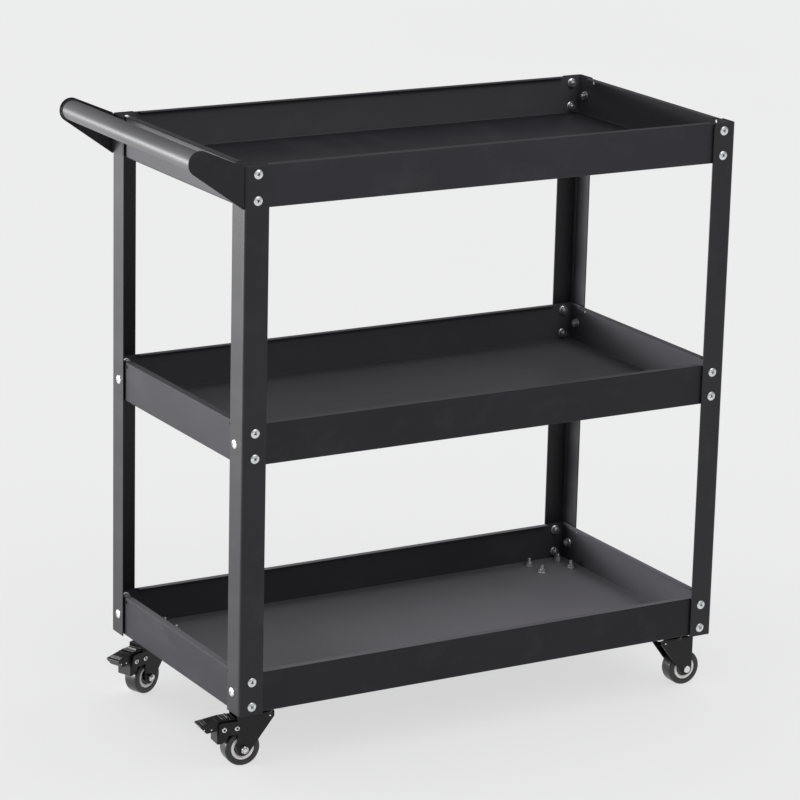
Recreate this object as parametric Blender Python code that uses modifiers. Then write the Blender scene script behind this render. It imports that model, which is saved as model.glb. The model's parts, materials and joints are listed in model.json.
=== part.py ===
"""Three-tray rolling tool cart: folded trays screwed to four angle posts, on swivel casters.

Metres, +Z up. The push handle is at the -X end and the long sides face -Y and +Y.
The origin is on the floor, at the middle of the cart's overall length and width.
"""

from math import cos, pi, radians, sin

import bmesh
import bpy
from mathutils import Matrix, Vector

# ---------------------------------------------------------------- driving dimensions
GAP = 0.0003              # between pieces that touch on the real cart

CART_LENGTH = 0.700       # over the posts, along X
CART_WIDTH = 0.362        # over the posts, along Y
POST_HEIGHT = 0.690

POST_LEG = 0.031          # width of each flange of the angle
POST_SHEET = 0.0015
POST_FOLD = 0.0028        # outside radius of the fold
POST_CORNER = 0.0055      # radius of a flange's free corner at the top
POST_DROP = 0.0010        # how far the posts reach below the bottom tray

TRAY_SHEET = 0.0010
TRAY_DEPTH = 0.052        # underside to rim
TRAY_FOLD = 0.0018        # outside radius where walls meet each other and the floor
LIP_WIDTH = 0.0095        # inward return along each rim
LIP_RELIEF = 0.0015       # the lip stops this far short of a post's edge

SIDE_SCREW_INSET = 0.016  # from the cart's corner, along X
SIDE_SCREW_MARGIN = 0.010 # below the rim, and above the underside
END_SCREW_INSET = 0.0185  # from the cart's corner, along Y; halfway up the tray
SCREW_RADIUS = 0.0029
SCREW_CLEARANCE = 0.0003
SCREW_HEAD_RADIUS = 0.0060
SCREW_HEAD_HEIGHT = 0.0033
SCREW_TAIL = 0.0020       # thread standing past the nut
NUT_FLATS = 0.0100
NUT_HEIGHT = 0.0050

HANDLE_REACH = 0.060      # from the posts' end faces out to the tube's axis
HANDLE_RISE = 0.0085      # of the tube's axis over the post tops
HANDLE_RADIUS = 0.0127
HANDLE_WALL = 0.0015
BRACKET_SHEET = 0.0015
BRACKET_MARGIN = 0.0028   # plate left round the end of the tube
BRACKET_TOE = 0.0015      # radius of the bracket's lower corner
BRACKET_TAB = 0.029       # width of the tab on the post's end face

CASTER_INSET_X = 0.0425   # from the posts' end faces to the swivel axis
CASTER_INSET_Y = 0.0345   # from the posts' side faces to the swivel axis
PLATE_MARGIN = 0.007      # of the plate, outside its bolts' middles
PLATE_SHEET = 0.0022
PLATE_CORNER = 0.006
BOLT_SPACING_X = 0.048
BOLT_SPACING_Y = 0.034
BOLT_HOLE_RADIUS = 0.0028
BOLT_CLEARANCE = 0.0003
BOLT_HEAD_HEIGHT = 0.0045
BOLT_HEAD_ROOM = 0.0007   # between a bolt's head and the fork turning under it

RACE_RADIUS = 0.0150      # ring of balls between plate and fork
RACE_BALL = 0.0024
KINGPIN_RADIUS = 0.0047
KINGPIN_CLEARANCE = 0.0003
KINGPIN_HEAD_RADIUS = 0.0085
KINGPIN_HEAD_HEIGHT = 0.0040

WHEEL_RADIUS = 0.0235
WHEEL_WIDTH = 0.021
WHEEL_HEADROOM = 0.0305   # from the tread up to the top of the caster's plate
TREAD_SHOULDER = 0.003
CORE_RADIUS = 0.0155
CORE_EDGE = 0.001         # of the core's rim, inside the tread's faces
HUB_RADIUS = 0.0070
HUB_PROUD = 0.0011        # of the hub, past the tread's faces
HUB_FLARE = 0.003         # radius and depth of the hub's foot
AXLE_RADIUS = 0.0030
AXLE_CLEARANCE = 0.0003
AXLE_HEAD_HEIGHT = 0.0034
AXLE_HEAD_CHAMFER = 0.0012
AXLE_NUT_HEIGHT = 0.0040
AXLE_TAIL = 0.0008        # of the bolt, past its nut
TRAIL = 0.023             # from the swivel axis back to the axle

FORK_SHEET = 0.0020
FORK_CLEARANCE = 0.0006   # between a cheek and the hub
FORK_NOSE = 0.0175        # how far a cheek reaches ahead of the swivel axis
FORK_NOSE_DEPTH = 0.0088  # height of a cheek's front edge
FORK_NOSE_CORNER = 0.0020
FORK_HEEL = 0.032         # how far a cheek reaches behind the swivel axis
FORK_HEEL_DEPTH = 0.0165
FORK_TOE = 0.0087         # radius of a cheek's end round the axle
FORK_CROWN_RADIUS = 0.021
FORK_CROWN_HEIGHT = 0.0030

# the brake: its rivets stand behind the axle and over the tread, and the rest is from its pivot
BRAKE_RISE = 0.0055       # of both rivets, over the tread
BRAKE_PIVOT_REACH = 0.0264
BRAKE_RIVET_REACH = 0.0094
BRAKE_TURN = radians(16)
BRAKE_AIR = 0.0003        # left between shoe and tread with the pedal pressed
RIVET_RADIUS = 0.0024
RIVET_BORE = 0.0013
RIVET_HEAD_RADIUS = 0.0034
RIVET_HEAD_HEIGHT = 0.0010
EAR_LENGTH = 0.0065       # of the cheek, past the brake's pivot
EAR_TOP = 0.0090          # above the pivot
EAR_BOTTOM = 0.0085       # below the pivot
EAR_CORNER = 0.0040
LEVER_CLEARANCE = 0.0017  # between the lever and a cheek
PEDAL_SHEET = 0.0016
PEDAL_FOLD = 0.00144      # outside radius of the pedal's folds
PEDAL_TIP = 0.0304        # past the pivot
PEDAL_BACK = -0.0170      # behind the pivot
PEDAL_TOP = 0.0117        # above the pivot
PEDAL_SLOPE = 0.0304      # length of the slope down to the tip
PEDAL_DIP = 0.0042        # drop of that slope
PEDAL_LIP = (0.0216, -0.0018)        # lower end of the turned-in tip, from the pivot
PEDAL_SKIRT = (-0.0100, 0.0012)      # from there to the lower end of the pedal's sides
LEVER_BOSS = 0.0062       # radius of the arm round the pivot
ARM_INSET = 0.0060        # of the arm's front, behind the pedal's back edge
SHOE_OUTSIDE = 0.0082     # of the shoe's back, past the pivot
SHOE_INSIDE = -0.0040     # of the shoe's front corner, past the pivot
SHOE_DROP = 0.0185        # below the pivot
SHOE_CORNER = 0.0010

HOLE_SEGMENTS = 8
SMALL_SEGMENTS = 12
ROUND_SEGMENTS = 20
WHEEL_SEGMENTS = 32
FILLET_STEPS = 3

# ---------------------------------------------------------------- derived places
AXLE_Z = WHEEL_RADIUS * cos(pi / WHEEL_SEGMENTS)     # each wheel stands on one flat facet
AXLE_DROP = WHEEL_RADIUS + WHEEL_HEADROOM            # from the plate's top down to the axle
PLATE_TOP = AXLE_Z + AXLE_DROP
TRAY_BOTTOM_Z = PLATE_TOP + GAP
POST_BOTTOM = TRAY_BOTTOM_Z - POST_DROP
POST_TOP = POST_BOTTOM + POST_HEIGHT
TRAY_PITCH = (POST_TOP - TRAY_DEPTH - TRAY_BOTTOM_Z) / 2
TRAY_UNDERSIDES = {
    "bottom": TRAY_BOTTOM_Z,
    "middle": TRAY_BOTTOM_Z + TRAY_PITCH,
    "top": TRAY_BOTTOM_Z + 2 * TRAY_PITCH,
}

CORNERS = {"front_left": (-1, -1), "front_right": (1, -1), "back_left": (-1, 1), "back_right": (1, 1)}
# which way each caster trails, turned from +X; the two at the handle have brakes
TRAIL_ANGLE = {"front_left": 175, "back_left": 202, "front_right": 0, "back_right": -12}
BRAKED = ("front_left", "back_left")


def wheel_reach(corner):
    """How far a wheel reaches along X from its swivel axis."""
    angle = radians(TRAIL_ANGLE[corner])
    return (TRAIL + AXLE_Z) * abs(cos(angle)) + (WHEEL_WIDTH / 2 - TREAD_SHOULDER) * abs(sin(angle))


BRACKET_NOSE = HANDLE_RADIUS + BRACKET_MARGIN
LEFT_OVERHANG = HANDLE_REACH + BRACKET_NOSE
RIGHT_OVERHANG = max(GAP + SCREW_HEAD_HEIGHT, wheel_reach("front_right") - CASTER_INSET_X,
                     wheel_reach("back_right") - CASTER_INSET_X)
X_SHIFT = (LEFT_OVERHANG - RIGHT_OVERHANG) / 2
END_X = {-1: X_SHIFT - CART_LENGTH / 2, 1: X_SHIFT + CART_LENGTH / 2}
SIDE_Y = {-1: -CART_WIDTH / 2, 1: CART_WIDTH / 2}
TRAY_INSET = POST_SHEET + GAP                        # tray wall behind the post's face
TRAY_INSIDE = TRAY_INSET + TRAY_SHEET
SCREW_HOLE = SCREW_RADIUS + SCREW_CLEARANCE
SIDE_SCREW_DEPTHS = (SIDE_SCREW_MARGIN, TRAY_DEPTH - SIDE_SCREW_MARGIN)
END_SCREW_DEPTH = TRAY_DEPTH / 2
HANDLE_Z = POST_TOP + HANDLE_RISE

PLATE_LENGTH = BOLT_SPACING_X + 2 * PLATE_MARGIN
PLATE_WIDTH = BOLT_SPACING_Y + 2 * PLATE_MARGIN
HUB_WIDTH = WHEEL_WIDTH + 2 * HUB_PROUD
FORK_INSIDE = HUB_WIDTH + 2 * FORK_CLEARANCE         # between the two cheeks
FORK_OUTSIDE = FORK_INSIDE + 2 * FORK_SHEET
LEVER_WIDTH = FORK_INSIDE - 2 * LEVER_CLEARANCE
# from the axle: X away from the swivel axis, Z up
BRAKE_PIVOT = (BRAKE_PIVOT_REACH, WHEEL_RADIUS + BRAKE_RISE)
BRAKE_RIVET = (BRAKE_RIVET_REACH, WHEEL_RADIUS + BRAKE_RISE)


# ---------------------------------------------------------------- scene and materials
for old in list(bpy.data.objects):
    bpy.data.objects.remove(old, do_unlink=True)

PARTS = bpy.data.collections.new("tool_cart")
CUTTERS = bpy.data.collections.new("tool_cart_cutters")
for collection in (PARTS, CUTTERS):
    bpy.context.scene.collection.children.link(collection)


def material(name, colour, roughness, metallic):
    """One Principled material."""
    made = bpy.data.materials.new(name)
    made.use_nodes = True
    shader = made.node_tree.nodes["Principled BSDF"]
    shader.inputs["Base Color"].default_value = (*colour, 1)
    shader.inputs["Roughness"].default_value = roughness
    shader.inputs["Metallic"].default_value = metallic
    return made


FINISHES = {
    "tray": ((0.030, 0.030, 0.033), 0.45, 0.0),
    "post": ((0.026, 0.026, 0.029), 0.48, 0.0),
    "handle": ((0.034, 0.034, 0.036), 0.42, 0.0),
    "bracket": ((0.028, 0.028, 0.030), 0.45, 0.0),
    "screw": ((0.72, 0.73, 0.75), 0.28, 1.0),
    "caster_steel": ((0.018, 0.018, 0.020), 0.30, 0.2),
    "pedal": ((0.020, 0.020, 0.022), 0.35, 0.1),
    "race": ((0.55, 0.55, 0.57), 0.30, 1.0),
    "bright_steel": ((0.75, 0.76, 0.78), 0.20, 1.0),
    "core": ((0.62, 0.62, 0.60), 0.40, 0.0),
    "tread": ((0.015, 0.015, 0.016), 0.50, 0.0),
}


def finish(obj, kind):
    """Gives an object a material of its own."""
    obj.data.materials.clear()
    obj.data.materials.append(material(obj.name + "_" + kind, *FINISHES[kind]))
    return obj


# ---------------------------------------------------------------- making shapes
def place(obj, parent=None, at=(0, 0, 0), turn=(0, 0, 0), cutter=False):
    """Links an object and sets it under its parent."""
    (CUTTERS if cutter else PARTS).objects.link(obj)
    obj.parent = parent
    obj.location = at
    obj.rotation_euler = turn
    if cutter:
        obj.hide_render = True
        obj.display_type = "WIRE"
    return obj


def mesh_object(name, bm):
    """An object from a bmesh, its faces turned outwards."""
    bmesh.ops.recalc_face_normals(bm, faces=bm.faces)
    mesh = bpy.data.meshes.new(name)
    bm.to_mesh(mesh)
    bm.free()
    return bpy.data.objects.new(name, mesh)


def empty(name, parent=None, at=(0, 0, 0), turn=(0, 0, 0)):
    """A joint axis or a reference point."""
    made = bpy.data.objects.new(name, None)
    made.empty_display_size = 0.03
    return place(made, parent, at, turn)


def box(name, low, high):
    """A box between two corners, its origin at its middle."""
    size = Vector(high) - Vector(low)
    bm = bmesh.new()
    bmesh.ops.create_cube(bm, size=1, matrix=Matrix.Diagonal((*size, 1)))
    return mesh_object(name, bm), (Vector(low) + Vector(high)) / 2


def fillet(corners):
    """Outline points from (x, y, radius) corners, each radius as a run of short edges."""
    points = []
    for index, (x, y, radius) in enumerate(corners):
        here = Vector((x, y))
        before = (Vector(corners[index - 1][:2]) - here).normalized()
        after = (Vector(corners[(index + 1) % len(corners)][:2]) - here).normalized()
        if radius <= 0:
            points.append(here)
            continue
        half = before.angle(after) / 2
        middle = here + (before + after).normalized() * radius / sin(half)
        start = here + before * radius / (sin(half) / cos(half)) - middle
        end = here + after * radius / (sin(half) / cos(half)) - middle
        sweep = start.angle_signed(end)
        for step in range(FILLET_STEPS + 1):
            part = -sweep * step / FILLET_STEPS
            turned = (start.x * cos(part) - start.y * sin(part), start.x * sin(part) + start.y * cos(part))
            points.append(middle + Vector(turned))
    return points


def wrap(circles, steps=ROUND_SEGMENTS):
    """The taut band round (x, y, radius) circles, as outline points."""
    dots = []
    for x, y, radius in circles:
        count = steps if radius > 0 else 1
        for step in range(count):
            angle = 2 * pi * step / steps
            dots.append((x + radius * cos(angle), y + radius * sin(angle)))
    dots.sort()
    band = []
    for run in (dots, dots[::-1]):
        side = []
        for dot in run:
            while len(side) > 1 and turn_of(side[-2], side[-1], dot) <= 1e-12:
                side.pop()
            side.append(dot)
        band += side[:-1]
    return [Vector(dot) for dot in band]


def turn_of(first, second, third):
    """Positive where the path through three points turns left."""
    return ((second[0] - first[0]) * (third[1] - first[1])
            - (second[1] - first[1]) * (third[0] - first[0]))


def plate(name, points, thickness):
    """A flat outline in XY given a thickness, as a mesh centred on its plane."""
    curve = bpy.data.curves.new(name, "CURVE")
    curve.dimensions = "2D"
    curve.fill_mode = "BOTH"
    curve.extrude = thickness / 2
    spline = curve.splines.new("POLY")
    spline.points.add(len(points) - 1)
    for point, (x, y) in zip(spline.points, points):
        point.co = (x, y, 0, 1)
    spline.use_cyclic_u = True
    outline = bpy.data.objects.new(name + "_outline", curve)
    bpy.context.scene.collection.objects.link(outline)
    evaluated = outline.evaluated_get(bpy.context.evaluated_depsgraph_get())
    bm = bmesh.new()
    bm.from_mesh(bpy.data.meshes.new_from_object(evaluated))
    bpy.data.objects.remove(outline, do_unlink=True)
    bmesh.ops.remove_doubles(bm, verts=bm.verts, dist=1e-6)
    return mesh_object(name, bm)


def turned(name, profile, segments=ROUND_SEGMENTS, ring=False):
    """A profile of (radius, z) points turned about Z; a ring's profile closes on itself."""
    bm = bmesh.new()
    dots = [bm.verts.new((radius, 0, z)) for radius, z in profile]
    for first, second in zip(dots, dots[1:] + dots[:1] if ring else dots[1:]):
        bm.edges.new((first, second))
    mesh = bpy.data.meshes.new(name)
    bm.to_mesh(mesh)
    bm.free()
    made = bpy.data.objects.new(name, mesh)
    screw = made.modifiers.new("turn", "SCREW")
    screw.steps = screw.render_steps = segments
    screw.use_merge_vertices = True
    screw.merge_threshold = 1e-5
    screw.use_smooth_shade = True
    return made


def combine(target, other, operation):
    """Cuts a target with another object, or joins the other to it."""
    step = target.modifiers.new(other.name, "BOOLEAN")
    step.operation = operation
    step.solver = "EXACT"
    step.object = other
    return target


def drill(target, parent, name, holes, radius, depth, segments=HOLE_SEGMENTS):
    """Cuts round holes, each given by its middle and the axis that it runs along."""
    bm = bmesh.new()
    for middle, axis in holes:
        facing = Vector(axis).to_track_quat("Z", "Y").to_matrix().to_4x4()
        bmesh.ops.create_cone(bm, cap_ends=True, segments=segments, radius1=radius, radius2=radius,
                              depth=depth, matrix=Matrix.Translation(middle) @ facing)
    cutter = place(mesh_object(name, bm), parent, cutter=True)
    return combine(target, cutter, "DIFFERENCE")


# ---------------------------------------------------------------- where the screws go
def side_screws(sx, sy, level):
    """Middles of the two screws through a long side, at one corner of one tray."""
    rim = TRAY_UNDERSIDES[level] + TRAY_DEPTH
    x = END_X[sx] - sx * SIDE_SCREW_INSET
    return [Vector((x, SIDE_Y[sy], rim - depth)) for depth in SIDE_SCREW_DEPTHS]


def end_screw(sx, sy, level):
    """Middle of the screw through an end, at one corner of one tray."""
    rim = TRAY_UNDERSIDES[level] + TRAY_DEPTH
    return Vector((END_X[sx], SIDE_Y[sy] - sy * END_SCREW_INSET, rim - END_SCREW_DEPTH))


def swivel_centre(corner):
    """Where a caster's swivel axis meets the top of its plate."""
    sx, sy = CORNERS[corner]
    return Vector((END_X[sx] - sx * CASTER_INSET_X, SIDE_Y[sy] - sy * CASTER_INSET_Y, PLATE_TOP))


def caster_bolts():
    """Bolt holes of a caster's plate, from its swivel axis."""
    return [Vector((sx * BOLT_SPACING_X / 2, sy * BOLT_SPACING_Y / 2, 0)) for sx in (-1, 1) for sy in (-1, 1)]


# ---------------------------------------------------------------- trays
def tray_box(name, level, inset, low, high):
    """A box that follows the tray's outline, a distance inside the cart's faces."""
    base = TRAY_UNDERSIDES[level]
    corner = Vector((END_X[-1] + inset, SIDE_Y[-1] + inset, base + low))
    return box(name, corner, (END_X[1] - inset, SIDE_Y[1] - inset, base + high))


def make_tray(level):
    """A folded tray: floor, four walls, and a return lip between the posts."""
    name = "tray_" + level
    tray, middle = tray_box(name, level, TRAY_INSET, 0, TRAY_DEPTH)
    place(tray, at=middle)
    fold = tray.modifiers.new("fold", "BEVEL")
    fold.width = TRAY_FOLD
    fold.segments = 2
    fold.limit_method = "WEIGHT"
    weights = tray.data.attributes.new("bevel_weight_edge", "FLOAT", "EDGE")
    for edge in tray.data.edges:
        heights = [tray.data.vertices[index].co.z for index in edge.vertices]
        weights.data[edge.index].value = 1.0 if min(heights) < 0 else 0.0

    inside, middle = tray_box(name + "_inside", level, TRAY_INSIDE, TRAY_SHEET, TRAY_DEPTH - TRAY_SHEET)
    combine(tray, place(inside, at=middle, cutter=True), "DIFFERENCE")
    over = TRAY_DEPTH + 0.01
    mouth, middle = tray_box(name + "_mouth", level, TRAY_INSET + LIP_WIDTH, TRAY_SHEET * 2, over)
    combine(tray, place(mouth, at=middle, cutter=True), "DIFFERENCE")
    base = TRAY_UNDERSIDES[level]
    reach = POST_LEG + LIP_RELIEF
    for corner, (sx, sy) in CORNERS.items():
        first = Vector((END_X[sx] - sx * TRAY_INSIDE, SIDE_Y[sy] - sy * TRAY_INSIDE, base + TRAY_SHEET * 2))
        last = Vector((END_X[sx] - sx * reach, SIDE_Y[sy] - sy * reach, base + over))
        low = [min(pair) for pair in zip(first, last)]
        high = [max(pair) for pair in zip(first, last)]
        relief, middle = box(name + "_relief_" + corner, low, high)
        combine(tray, place(relief, at=middle, cutter=True), "DIFFERENCE")

    holes = []
    for sx, sy in CORNERS.values():
        holes += [(middle, (0, 1, 0)) for middle in side_screws(sx, sy, level)]
        holes.append((end_screw(sx, sy, level), (1, 0, 0)))
    drill(tray, None, name + "_screw_holes", holes, SCREW_HOLE, 4 * TRAY_INSIDE)
    if level == "bottom":
        holes = [(swivel_centre(corner) + bolt, (0, 0, 1)) for corner in CORNERS for bolt in caster_bolts()]
        drill(tray, None, name + "_caster_holes", holes, BOLT_HOLE_RADIUS, 6 * TRAY_SHEET)
    finish(tray, "tray")


# ---------------------------------------------------------------- posts
def make_post(corner):
    """An angle post with its fold at the cart's corner."""
    sx, sy = CORNERS[corner]
    name = "post_" + corner
    section = fillet([(0, 0, POST_FOLD), (POST_LEG, 0, 0), (POST_LEG, POST_SHEET, 0),
                      (POST_SHEET, POST_SHEET, POST_FOLD - POST_SHEET), (POST_SHEET, POST_LEG, 0),
                      (0, POST_LEG, 0)])
    post = plate(name, [(-sx * x, -sy * y) for x, y in section], POST_HEIGHT)
    place(post, at=(END_X[sx], SIDE_Y[sy], POST_BOTTOM + POST_HEIGHT / 2))

    holes = []
    for level in TRAY_UNDERSIDES:
        holes += [(middle, (0, 1, 0)) for middle in side_screws(sx, sy, level)]
        holes.append((end_screw(sx, sy, level), (1, 0, 0)))
    drill(post, None, name + "_screw_holes", holes, SCREW_HOLE, 4 * TRAY_INSIDE)

    spare = 0.002
    arc = fillet([(-POST_CORNER, -POST_CORNER, 0), (0, -POST_CORNER, 0), (0, 0, POST_CORNER),
                  (-POST_CORNER, 0, 0)])[2:-1]
    round_off = [Vector((spare, -POST_CORNER)), *arc, Vector((-POST_CORNER, spare)), Vector((spare, spare))]
    for flange, turn in (("side", (pi / 2, 0, 0)), ("end", (pi / 2, 0, pi / 2))):
        flip = -sx if flange == "side" else -sy
        cutter = plate(name + "_round_" + flange, [(flip * x, z) for x, z in round_off], 4 * TRAY_INSIDE)
        at = Vector((END_X[sx], SIDE_Y[sy], POST_TOP))
        at[0 if flange == "side" else 1] += flip * POST_LEG
        combine(post, place(cutter, at=at, turn=turn, cutter=True), "DIFFERENCE")
    finish(post, "post")


# ---------------------------------------------------------------- handle
def make_handle():
    """A tube between two folded brackets on the posts at the handle end."""
    length = CART_WIDTH - 2 * (BRACKET_SHEET + GAP)
    inner = HANDLE_RADIUS - HANDLE_WALL
    tube = turned("handle_tube", [(inner, length / 2), (HANDLE_RADIUS, length / 2),
                                  (HANDLE_RADIUS, -length / 2), (inner, -length / 2)],
                  WHEEL_SEGMENTS, ring=True)
    place(tube, at=(END_X[-1] - HANDLE_REACH, 0, HANDLE_Z), turn=(pi / 2, 0, 0))
    finish(tube, "handle")

    low = TRAY_UNDERSIDES["top"] + GAP - POST_TOP
    outline = wrap([(-HANDLE_REACH, HANDLE_RISE, BRACKET_NOSE), (-GAP, 0, 0),
                    (-GAP, low + BRACKET_TOE, 0), (-GAP - BRACKET_TOE, low + BRACKET_TOE, BRACKET_TOE)])
    for side, sy in (("front", -1), ("back", 1)):
        name = "handle_bracket_" + side
        bracket = plate(name, outline, BRACKET_SHEET)
        place(bracket, at=(END_X[-1], SIDE_Y[sy] - sy * BRACKET_SHEET / 2, POST_TOP), turn=(pi / 2, 0, 0))
        span = sorted((SIDE_Y[sy], SIDE_Y[sy] - sy * BRACKET_TAB))
        corner = (END_X[-1] - GAP - BRACKET_SHEET, span[0], POST_TOP + low + BRACKET_TOE)
        tab, middle = box(name + "_tab", corner, (END_X[-1] - GAP, span[1], POST_TOP - POST_CORNER / 2))
        combine(bracket, place(tab, at=middle, cutter=True), "UNION")
        hole = (end_screw(-1, sy, "top"), (1, 0, 0))
        drill(bracket, None, name + "_hole", [hole], SCREW_HOLE, 4 * TRAY_INSIDE)
        finish(bracket, "bracket")


# ---------------------------------------------------------------- screws
def make_end_screw(level, corner):
    """A pan-head screw through an end, with its nut inside the tray."""
    sx, sy = CORNERS[corner]
    name = "end_screw_" + level + "_" + corner
    bracket = BRACKET_SHEET + GAP if level == "top" and sx < 0 else 0
    seat = bracket + GAP
    nut_face = TRAY_INSIDE + seat + GAP
    end = nut_face + NUT_HEIGHT + SCREW_TAIL
    head, shank = SCREW_HEAD_RADIUS, SCREW_RADIUS
    screw = turned(name, [(0, SCREW_HEAD_HEIGHT), (head * 0.6, SCREW_HEAD_HEIGHT * 0.85),
                          (head, SCREW_HEAD_HEIGHT * 0.25), (head, 0), (shank, 0), (shank, -end), (0, -end)],
                   SMALL_SEGMENTS)
    at = end_screw(sx, sy, level) + Vector((sx * seat, 0, 0))
    place(screw, at=at, turn=(0, sx * pi / 2, 0))
    bm = bmesh.new()
    bmesh.ops.create_cone(bm, cap_ends=True, segments=6, radius1=NUT_FLATS / 2 / cos(pi / 6),
                          radius2=NUT_FLATS / 2 / cos(pi / 6), depth=NUT_HEIGHT)
    nut = place(mesh_object(name + "_nut", bm), screw, (0, 0, -nut_face - NUT_HEIGHT / 2), cutter=True)
    combine(screw, nut, "UNION")
    finish(screw, "screw")


# ---------------------------------------------------------------- casters
# Each caster is laid out from its swivel axis at the top of its plate: X along the trail, Z up.
AXLE_AT = Vector((TRAIL, 0, -AXLE_DROP))
PLATE_UNDER = -PLATE_SHEET
FORK_TOP = PLATE_UNDER - GAP - BOLT_HEAD_HEIGHT - BOLT_HEAD_ROOM
PIVOT_AT = AXLE_AT + Vector((BRAKE_PIVOT[0], 0, BRAKE_PIVOT[1]))
RIVET_AT = AXLE_AT + Vector((BRAKE_RIVET[0], 0, BRAKE_RIVET[1]))


def make_mount(corner, hub):
    """The parts of a caster that stay with the cart: bolted plate, ring of balls and kingpin."""
    x, y = PLATE_LENGTH / 2, PLATE_WIDTH / 2
    outline = fillet([(*corner_at, PLATE_CORNER) for corner_at in ((-x, -y), (x, -y), (x, y), (-x, y))])
    mount = place(plate("caster_plate_" + corner, outline, PLATE_SHEET), hub, (0, 0, -PLATE_SHEET / 2))
    shank, hexagon = BOLT_HOLE_RADIUS - BOLT_CLEARANCE, NUT_FLATS / 2 / cos(pi / 6)
    nut_face = GAP + TRAY_SHEET + GAP
    end, within = nut_face + NUT_HEIGHT + SCREW_TAIL, -PLATE_SHEET / 2
    head_face = -PLATE_SHEET - BOLT_HEAD_HEIGHT
    for number, middle in enumerate(caster_bolts()):
        bolt = turned(f"{mount.name}_bolt_{number}", [
            (0, end), (shank, end), (shank, nut_face + NUT_HEIGHT), (hexagon, nut_face + NUT_HEIGHT),
            (hexagon, nut_face), (shank, nut_face), (shank, within), (hexagon, within),
            (hexagon, head_face), (0, head_face)], 6)
        combine(mount, place(bolt, hub, middle, cutter=True), "UNION")
    drill(mount, hub, mount.name + "_pin_hole", [((0, 0, 0), (0, 0, 1))],
          KINGPIN_RADIUS + KINGPIN_CLEARANCE, 4 * PLATE_SHEET, SMALL_SEGMENTS)
    finish(mount, "caster_steel")

    middle = (PLATE_UNDER + FORK_TOP) / 2
    ball = min(RACE_BALL, (PLATE_UNDER - FORK_TOP) / 2 - GAP)
    turns = [pi * step / 3 for step in range(6)]
    band = [(RACE_RADIUS + ball * sin(angle), middle + ball * cos(angle)) for angle in turns]
    race = place(turned("ball_race_" + corner, band, SMALL_SEGMENTS, ring=True), hub)
    finish(race, "race")

    pin, head = KINGPIN_RADIUS, KINGPIN_HEAD_RADIUS
    under = FORK_TOP - FORK_CROWN_HEIGHT - GAP
    kingpin = turned("kingpin_" + corner, [(0, -GAP), (pin, -GAP), (pin, under), (head, under),
                                           (head, under - KINGPIN_HEAD_HEIGHT * 0.6),
                                           (head * 0.6, under - KINGPIN_HEAD_HEIGHT),
                                           (0, under - KINGPIN_HEAD_HEIGHT)], SMALL_SEGMENTS)
    finish(place(kingpin, hub), "bright_steel")


def make_fork(corner, swivel):
    """The pressed fork: two cheeks under a crown, with ears for the brake's rivets."""
    name = "caster_fork_" + corner
    braked = corner in BRAKED
    bend = FORK_NOSE_CORNER
    nose = [(-FORK_NOSE, FORK_TOP, 0), (-FORK_NOSE + bend, FORK_TOP - FORK_NOSE_DEPTH + bend, bend)]
    heel = [(FORK_HEEL, FORK_TOP, 0), (FORK_HEEL, FORK_TOP - FORK_HEEL_DEPTH, 0)]
    toe = [(AXLE_AT.x, AXLE_AT.z, FORK_TOE)]
    upright = (pi / 2, 0, 0)
    fork = place(plate(name, wrap(nose + heel + toe), FORK_OUTSIDE), swivel, turn=upright)
    if braked:
        low, high = PIVOT_AT.z - EAR_BOTTOM, PIVOT_AT.z + EAR_TOP
        back, front, bend = PIVOT_AT.x + EAR_LENGTH, RIVET_AT.x - EAR_LENGTH, EAR_CORNER
        ear = plate(name + "_ear", wrap([(front, low, 0), (front, high, 0), (back - bend, high - bend, bend),
                                         (back - bend, low + bend, bend)], SMALL_SEGMENTS), FORK_OUTSIDE)
        combine(fork, place(ear, swivel, turn=upright, cutter=True), "UNION")

    deep = AXLE_DROP * 2
    slot, middle = box(name + "_slot", (-deep, -FORK_INSIDE / 2, -deep),
                       (deep, FORK_INSIDE / 2, FORK_TOP - FORK_SHEET))
    combine(fork, place(slot, swivel, middle, cutter=True), "DIFFERENCE")
    crown = turned(name + "_crown", [(0, FORK_TOP), (FORK_CROWN_RADIUS, FORK_TOP),
                                     (FORK_CROWN_RADIUS, FORK_TOP - FORK_CROWN_HEIGHT),
                                     (0, FORK_TOP - FORK_CROWN_HEIGHT)])
    combine(fork, place(crown, swivel, cutter=True), "UNION")

    drill(fork, swivel, name + "_pin_hole", [((0, 0, FORK_TOP), (0, 0, 1))],
          KINGPIN_RADIUS + KINGPIN_CLEARANCE, 4 * FORK_CROWN_HEIGHT, SMALL_SEGMENTS)
    drill(fork, swivel, name + "_axle_hole", [(AXLE_AT, (0, 1, 0))], AXLE_RADIUS + AXLE_CLEARANCE,
          2 * FORK_OUTSIDE, SMALL_SEGMENTS)
    if braked:
        drill(fork, swivel, name + "_rivet_holes", [(PIVOT_AT, (0, 1, 0)), (RIVET_AT, (0, 1, 0))],
              RIVET_RADIUS + GAP, 2 * FORK_OUTSIDE, SMALL_SEGMENTS)
    finish(fork, "caster_steel")


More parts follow.
